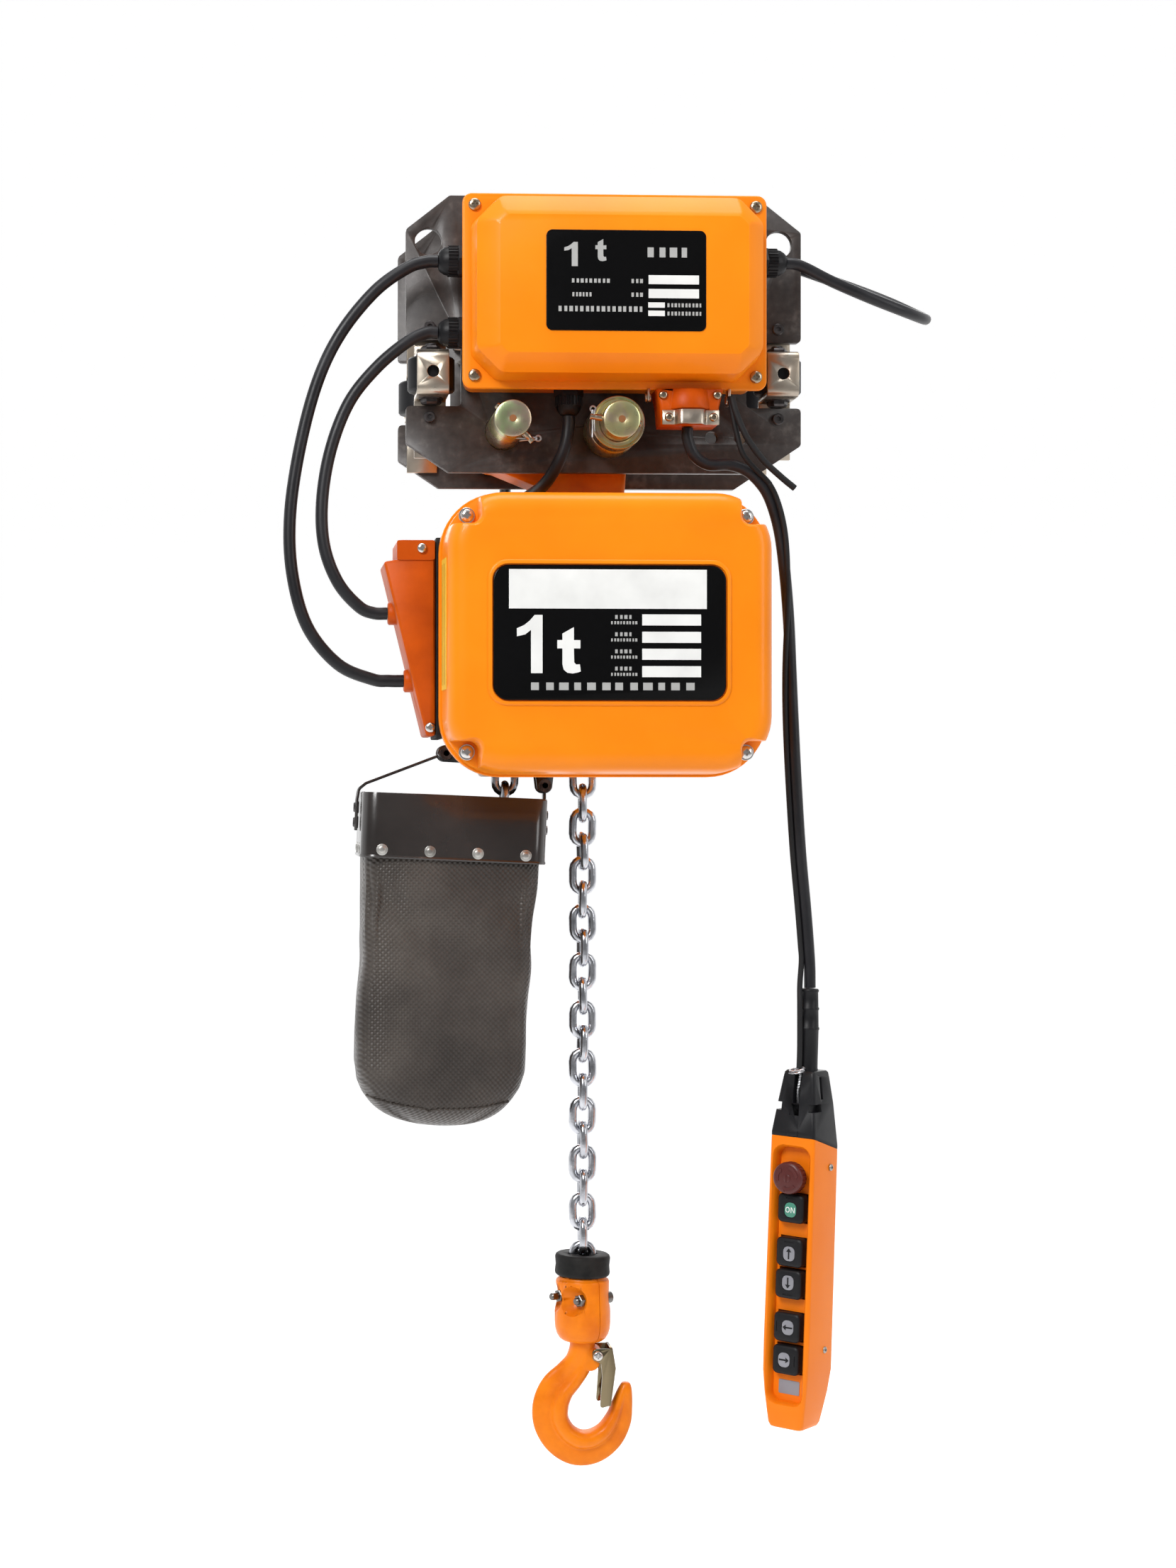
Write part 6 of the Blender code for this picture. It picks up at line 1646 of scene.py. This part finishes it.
def make_pendant_shell():
    """Handset shell: crisp edges and a front recess that runs round the buttons."""
    rows = [(-122.3, 20.0, 22.5, 22.5, 2.8), (-126.0, 20.1, 22.5, 22.6, 2.8), (-290.0, 21.0, 22.7, 23.0, 3.2),
            (-318.0, 20.6, 23.2, 24.4, 3.6), (-336.0, 19.2, 22.3, 21.8, 4.0), (-350.0, 17.5, 20.9, 18.5, 4.0),
            (-361.0, 16.2, 19.8, 15.6, 4.2), (-364.2, 14.8, 18.6, 14.0, 4.2), (-365.0, 13.0, 16.8, 12.2, 4.0)]
    shell = loft([handset_section(*row) for row in rows], "Z")
    slanted(shell)
    panel_y = -12.5
    recess = loft([(panel_y, rounded_rectangle((-14.6, 14.6), (-343.0, -132.0), 8.0, 8)),
                   (-20.0, rounded_rectangle((-15.4, 15.4), (-344.0, -131.0), 8.6, 8)),
                   (-22.4, rounded_rectangle((-17.2, 17.2), (-345.6, -129.4), 9.6, 8)),
                   (-24.2, rounded_rectangle((-18.4, 18.4), (-347.0, -128.0), 10.4, 8)),
                   (-40.0, rounded_rectangle((-18.6, 18.6), (-347.2, -127.8), 10.5, 8))], "Y")
    cut(shell, recess)
    for centre in BUTTONS.values():
        cut(shell, block((-12.4, 12.4), (-30.0, -1.0), (centre - KEY_HALF - 0.4, centre + KEY_HALF + 0.4)))
    cut(shell, cylinder("Y", (0.0, STOP_CENTRE), 8.4, -30.0, 1.0, 40))
    piece(moved(shell, pendant_matrix()), "moulded_pendant_shell", M["shell"], "frame", ("pendant_shell",),
          angle=42.0)
    patch = prism(rounded_rectangle((-9.5, 9.5), (-337.0, -325.5), 1.0, 3), "Y", panel_y, panel_y - 0.4)
    piece(moved(patch, pendant_matrix()), "pendant_patch", M["insert"])
    screws = [("X", (20.6, 8.0, z), 1) for z in (-148.0, -300.0)]
    set_fasteners("pendant_screws", lambda: cross_screw(2.8, 1.6), screws, M["steel"], "frame", pendant_matrix())


def arrow_outline(turn):
    shape = [(-0.65, -4.4), (0.65, -4.4), (0.65, 1.6), (2.4, 1.6), (0.0, 4.6), (-2.4, 1.6), (-0.65, 1.6)]
    cosine, sine = math.cos(math.radians(turn)), math.sin(math.radians(turn))
    return [(x * cosine - z * sine, x * sine + z * cosine) for x, z in shape]


def make_buttons():
    """Square keys with a thumb ridge, a rounded inlay and an arrow, and the mushroom stop."""
    facings = {"on_button": 0.0, "up_button": 0.0, "down_button": 180.0, "left_button": 90.0,
               "right_button": -90.0}
    for node, centre in BUTTONS.items():
        body = NODES[node]["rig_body"]
        turn = math.radians(facings[node])
        across, up = -math.sin(turn), math.cos(turn)
        rows = [(-8.0, 0.0), (-19.8, 0.0), (-20.8, 0.5), (-21.4, 1.3), (-21.7, 2.4)]
        sections = []
        for y, inset in rows:
            half = KEY_HALF - inset
            sides = (-half, half), (centre - half, centre + half)
            sections.append((y, rounded_rectangle(*sides, 4.2 - 0.4 * inset, 6)))
        key = loft(sections, "Y")
        x, z = -1.2 * across, centre - 1.2 * up
        ridge_x, ridge_z = 8.7 * across, centre + 8.7 * up
        half_x, half_z = (0.6, 4.2) if abs(across) > 0.5 else (4.2, 0.6)
        cut(key, prism(rounded_rectangle((x - 5.6, x + 5.6), (z - 6.4, z + 6.4), 4.6, 6), "Y", -25.0, -21.1),
            prism(rounded_rectangle((ridge_x - half_x, ridge_x + half_x), (ridge_z - half_z, ridge_z + half_z),
                                    0.55, 3), "Y", -25.0, -21.2))
        piece(moved(key, pendant_matrix()), "moulded_" + node, M["black"], body, (node,))
        inlay = loft([(-20.9, rounded_rectangle((x - 5.3, x + 5.3), (z - 6.1, z + 6.1), 4.4, 6)),
                      (-21.5, rounded_rectangle((x - 5.2, x + 5.2), (z - 6.0, z + 6.0), 4.3, 6)),
                      (-21.7, rounded_rectangle((x - 4.7, x + 4.7), (z - 5.5, z + 5.5), 3.9, 6))], "Y")
        if node == "on_button":
            inlay_finish, mark_finish = M["green"], M["white"]
            mark = on_mark(z)
        else:
            inlay_finish, mark_finish = M["insert"], M["black"]
            mark = prism([(x + u, z + v) for u, v in arrow_outline(facings[node])], "Y", -21.68, -21.82)
        piece(moved(inlay, pendant_matrix()), node + "_inlay", inlay_finish, body)
        piece(moved(mark, pendant_matrix()), node + "_mark", mark_finish, body)
    make_stop_button()


def on_mark(height):
    """The word ON as flat strokes."""
    ring = prism(rounded_rectangle((-4.2, -0.5), (height - 2.3, height + 2.3), 1.8, 6), "Y", -21.68, -21.82)
    cut(ring, prism(rounded_rectangle((-3.5, -1.2), (height - 1.6, height + 1.6), 1.1, 6), "Y", -21.0, -22.5))
    strokes = [[(0.5, -2.3), (1.15, -2.3), (1.15, 2.3), (0.5, 2.3)],
               [(3.55, -2.3), (4.2, -2.3), (4.2, 2.3), (3.55, 2.3)],
               [(3.5, -2.3), (4.2, -2.3), (1.2, 2.3), (0.5, 2.3)]]
    letters = [prism([(x, height + z) for x, z in stroke], "Y", -21.68 - 0.01 * number, -21.82 - 0.01 * number)
               for number, stroke in enumerate(strokes)]
    return joined([ring, *letters])


def polar(radius, degrees):
    angle = math.radians(degrees)
    return radius * math.cos(angle), radius * math.sin(angle)


def make_stop_button():
    """Mushroom button with a ribbed skirt, curved arrows round its face and a slotted centre."""
    stop = turned("Y", (0.0, STOP_CENTRE), [(8.0, -8.0), (8.0, -18.0), (11.5, -18.5), (13.0, -19.8),
                                            (13.3, -21.5), (13.3, -27.0), (12.9, -28.6), (12.2, -29.4),
                                            (11.0, -29.8), (0.5, -29.9)], 72)
    grooves = [cylinder("Y", (13.9 * math.cos(a), STOP_CENTRE + 13.9 * math.sin(a)), 1.1, -27.2, -20.0, 12)
               for a in (2.0 * math.pi * step / 24 for step in range(24))]
    cut(stop, *grooves)
    raised = []
    for turn in (20.0, 140.0, 260.0):
        inner = [polar(7.6, turn + a) for a in range(0, 61, 10)]
        outer = [polar(10.2, turn + a) for a in range(60, -1, -10)]
        tip = [polar(11.4, turn), polar(8.9, turn - 17.0), polar(6.4, turn)]
        outline = [(x, STOP_CENTRE + z) for x, z in inner + outer + tip]
        raised.append(prism(outline, "Y", -29.6, -30.25))
    hub = turned("Y", (0.0, STOP_CENTRE), [(3.2, -29.6), (3.2, -30.2), (2.8, -30.4)], 32)
    cut(hub, block((-0.5, 0.5), (-31.0, -30.0), (STOP_CENTRE - 4.0, STOP_CENTRE + 4.0)))
    item = moved(joined([stop, *raised, hub]), pendant_matrix())
    piece(item, "mushroom_stop_button", M["stop"], NODES["stop_button"]["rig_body"], ("stop_button",))


# ---------------------------------------------------------------- cables


def coil_points():
    """Turns of the stored supply lead, laid two by two, from its outer front turn inward."""
    nests = [(55.2, -4.9), (55.2, 4.9), (45.0, 4.9), (45.0, -4.9)]
    points = []
    start, steps = 88.0, 15
    for turn, (radius, depth) in enumerate(nests):
        following = nests[min(turn + 1, 3)]
        last = steps if turn < 3 else 9
        for step in range(last):
            share = step / steps
            blend = max(0.0, (share - 0.72) / 0.28) if turn < 3 else 0.0
            blend = blend * blend * (3.0 - 2.0 * blend)
            r = radius + (following[0] - radius) * blend
            y = depth + (following[1] - depth) * blend
            angle = math.radians(start + 360.0 * share)
            points.append(SUPPLY_COIL + Vector((r * math.cos(angle), y, r * math.sin(angle))))
    return points


def make_supply():
    """Supply lead: its spare length is wound and tied behind the rear plate, and its cores are bared."""
    coil = coil_points()
    points = [Vector(point) for point in SUPPLY_ROUTE] + [Vector((160.0, 78.5, 121.5))] + coil
    lead = tube("supply_cable", points, 9.5, M["rubber"])
    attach(lead, "frame")
    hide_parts("supply_lead", "supply_coil")
    end = coil[-1]
    direction = (end - coil[-2]).normalized()
    core = [(1.0, -2.0), (1.2, 5.0), (1.8, 11.0)]
    piece(joined(splayed(end, direction, core, 1.2, 10, 4)), "supply_cores", M["stopper"])
    strand = [(1.8, 10.6), (2.0, 14.0), (2.2, 17.0)]
    piece(joined(splayed(end, direction, strand, 0.75, 8, 3)), "supply_strands", M["copper"])
    ties = []
    for angle in (52.0, 200.0, 320.0):
        radial = Vector((math.cos(math.radians(angle)), 0.0, math.sin(math.radians(angle))))
        loop = []
        for step in range(17):
            turn = 2.0 * math.pi * step / 16
            loop.append(SUPPLY_COIL + radial * (50.1 + 11.4 * signed_power(math.cos(turn), 0.6))
                        + Vector((0.0, 11.0 * signed_power(math.sin(turn), 0.6), 0.0)))
        ties.append(swept_wire(loop, 1.3, 8, 3))
    hanging = [(150.0, 46.0, 106.0), (150.0, 60.0, 110.0), (151.0, 76.0, 114.0), (153.0, 88.0, 117.0)]
    ties.append(swept_wire(hanging, 1.3, 8, 4))
    piece(joined(ties), "coil_ties", M["black"])


def splayed(end, direction, stations, radius, sides, per_span):
    """Four thin wires past a cable's end: stations of (spread, distance)."""
    side = direction.orthogonal().normalized()
    up = direction.cross(side)
    wires = []
    for index in range(4):
        angle = math.radians(90.0 * index + 30.0)
        offset = side * (2.1 * math.cos(angle)) + up * (2.1 * math.sin(angle))
        path = [end + offset * spread + direction * distance for spread, distance in stations]
        wires.append(swept_wire(path, radius, sides, per_span))
    return wires


def hung_cord(name, points, diameter, material, stands_for=()):
    """A cord that rides on the frame and hides the CAD parts that it stands for."""
    cord = tube(name, points, diameter, material)
    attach(cord, "frame")
    if stands_for:
        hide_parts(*stands_for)


def make_strain_ropes():
    """Thin sheathed ropes that carry the pendant's weight: one joins the cable, one ends loose."""
    points = [Vector((97.5, -111.0, -36.0)), Vector((99.0, -112.5, -48.0)), Vector((102.5, -113.5, -66.0)),
              Vector((109.0, -114.0, -86.0))]
    route = curve_through(PENDANT_ROUTE, 3)
    for index, here in enumerate(route):
        if not -512.0 < here.z < -104.0:
            continue
        share = min(1.0, (-104.0 - here.z) / 230.0)
        angle = math.radians(-50.0 - 125.0 * share * share * (3.0 - 2.0 * share))
        direction = (route[index + 1] - route[index - 1]).normalized()
        side = Vector((-direction.z, 0.0, direction.x))
        points.append(here + 6.8 * (side * math.cos(angle) + Vector((0.0, math.sin(angle), 0.0))))
    matrix = pendant_matrix()
    foot = ((-5.5, -7.6, 3.0), (-3.5, -10.4, -12.0), (-2.2, -11.4, -32.0), (-1.4, -11.8, -50.0),
            (-1.0, -12.4, -66.0))
    points += [matrix @ Vector(place) for place in foot]
    hung_cord("strain_rope", points, 4.6, M["cord"])
    loose = [(98.5, -114.5, -37.0), (101.5, -116.5, -50.0), (109.5, -119.0, -70.0),
             (122.5, -120.5, -89.0), (138.0, -120.5, -103.5), (150.0, -119.5, -113.0)]
    hung_cord("strain_rope_tail", loose, 5.4, M["cord"])


# ---------------------------------------------------------------- light and camera

def area_light(name, place, target, size, power):
    data = bpy.data.lights.new(name, "AREA")
    data.shape = "RECTANGLE"
    data.size, data.size_y = size
    data.energy = power
    lamp = bpy.data.objects.new(name, data)
    lamp.location = place
    lamp.rotation_euler = (Vector(target) - Vector(place)).to_track_quat("-Z", "Y").to_euler()
    bpy.context.scene.collection.objects.link(lamp)


def make_studio():
    """Soft lamps and a pale bowl that glows, darker and dimmer in front of the object so that glossy faces keep
    their colour.
    """
    world = bpy.data.worlds.new("studio")
    world.use_nodes = True
    background = world.node_tree.nodes["Background"]
    background.inputs["Color"].default_value = (1.0, 1.0, 1.0, 1.0)
    background.inputs["Strength"].default_value = 0.42
    bpy.context.scene.world = world
    bpy.context.scene.view_settings.view_transform = "Standard"
    area_light("key", (-1.7, -2.5, 1.7), (0.0, 0.0, -0.35), (1.2, 1.4), 92.0)
    area_light("fill", (2.4, -1.9, 0.7), (0.0, 0.0, -0.4), (0.9, 2.0), 22.0)
    area_light("top", (0.0, -0.2, 2.3), (0.0, 0.0, 0.0), (2.0, 1.4), 44.0)
    area_light("rear", (0.3, 2.6, 1.0), (0.0, 0.0, -0.3), (2.4, 1.6), 34.0)

    sheet = Surface("studio_floor", (0.8, 0.8, 0.8), 0.9, Specular_IOR_Level=0.0)
    split = sheet.tree.nodes.new("ShaderNodeSeparateXYZ")
    sheet.link(sheet.coords, split.inputs["Vector"])
    depth = sheet.maths("MULTIPLY", sheet.maths("ADD", split.outputs["Y"], 5.0), 0.125)
    sheet.colour(depth, [(0.0, (0.34, 0.34, 0.34)), (0.8, (0.86, 0.86, 0.86))])
    # The bowl glows, faintly in front and more behind: though it is no lamp, it lights the object and shows in
    # its reflections.
    sheet.shader.inputs["Emission Color"].default_value = (1.0, 1.0, 1.0, 1.0)
    sheet.link(sheet.span(depth, 0.1, 0.52), sheet.shader.inputs["Emission Strength"])
    bm = bmesh.new()
    rings = []
    rows = [(0.4, 0.0), (2.0, 0.0), (4.0, 0.0), (7.0, 0.02), (10.0, 0.25), (14.0, 1.2), (18.0, 3.4), (21.0, 7.0),
            (23.0, 12.0), (24.0, 18.0)]
    for radius, height in rows:
        rings.append([bm.verts.new((x, y, -1.42 + height)) for x, y in circle((0.0, 0.0), radius, 96)])
    for lower, upper in zip(rings, rings[1:]):
        bridge(bm, lower, upper)
    bm.faces.new(rings[0])
    floor = solid(bm)
    floor.name = "studio_floor"
    floor.data.materials.append(sheet.material)
    floor.data.shade_smooth()


def make_camera():
    data = bpy.data.cameras.new("camera")
    data.lens = CAMERA_LENS
    data.sensor_width = 36.0
    data.shift_x, data.shift_y = CAMERA_SHIFT
    camera = bpy.data.objects.new("camera", data)
    camera.location = CAMERA_PLACE
    camera.rotation_euler = (math.radians(90.0), 0.0, math.radians(-CAMERA_TURN))
    bpy.context.scene.collection.objects.link(camera)
    bpy.context.scene.camera = camera


# ---------------------------------------------------------------- whole scene

def finish_cad_nodes():
    """The hidden drive parts stay as the CAD made them, in machined steel."""
    for node in ("rotor", "intermediate_gear", "load_sheave"):
        for slot in NODES[node].material_slots:
            slot.material = M["steel"]


def main():
    make_studio()
    make_camera()
    for name, node, route in (("travel_cable", "travel_lead", TRAVEL_LEAD_ROUTE),
                              ("hoist_cable_long", "lead_long", LEAD_LONG_ROUTE),
                              ("hoist_cable_short", "lead_short", LEAD_SHORT_ROUTE)):
        hung_cord(name, route, LEAD_DIAMETER, M["rubber"], stands_for=(node,))
    hung_cord("pendant_cord", PENDANT_ROUTE, 9.6, M["rubber"], stands_for=("pendant_cable",))
    make_supply()
    make_strain_ropes()
    for side in (-1, 1):
        make_side_plate(side)
    for make in (make_wheels, make_drive_pinion, make_guides, make_shafts, make_travel_motor, make_control_box,
                 make_box_label, make_glands, make_pendant_socket, make_yoke, make_hoist_body, make_front_cover,
                 make_motor, make_plug_box, make_chain, make_slack_chain, make_stopper, make_block, make_hook,
                 make_latch, make_bag_rim, make_bag, make_straps, make_pendant_cap, make_pendant_shell,
                 make_buttons, finish_cad_nodes):
        make()


main()
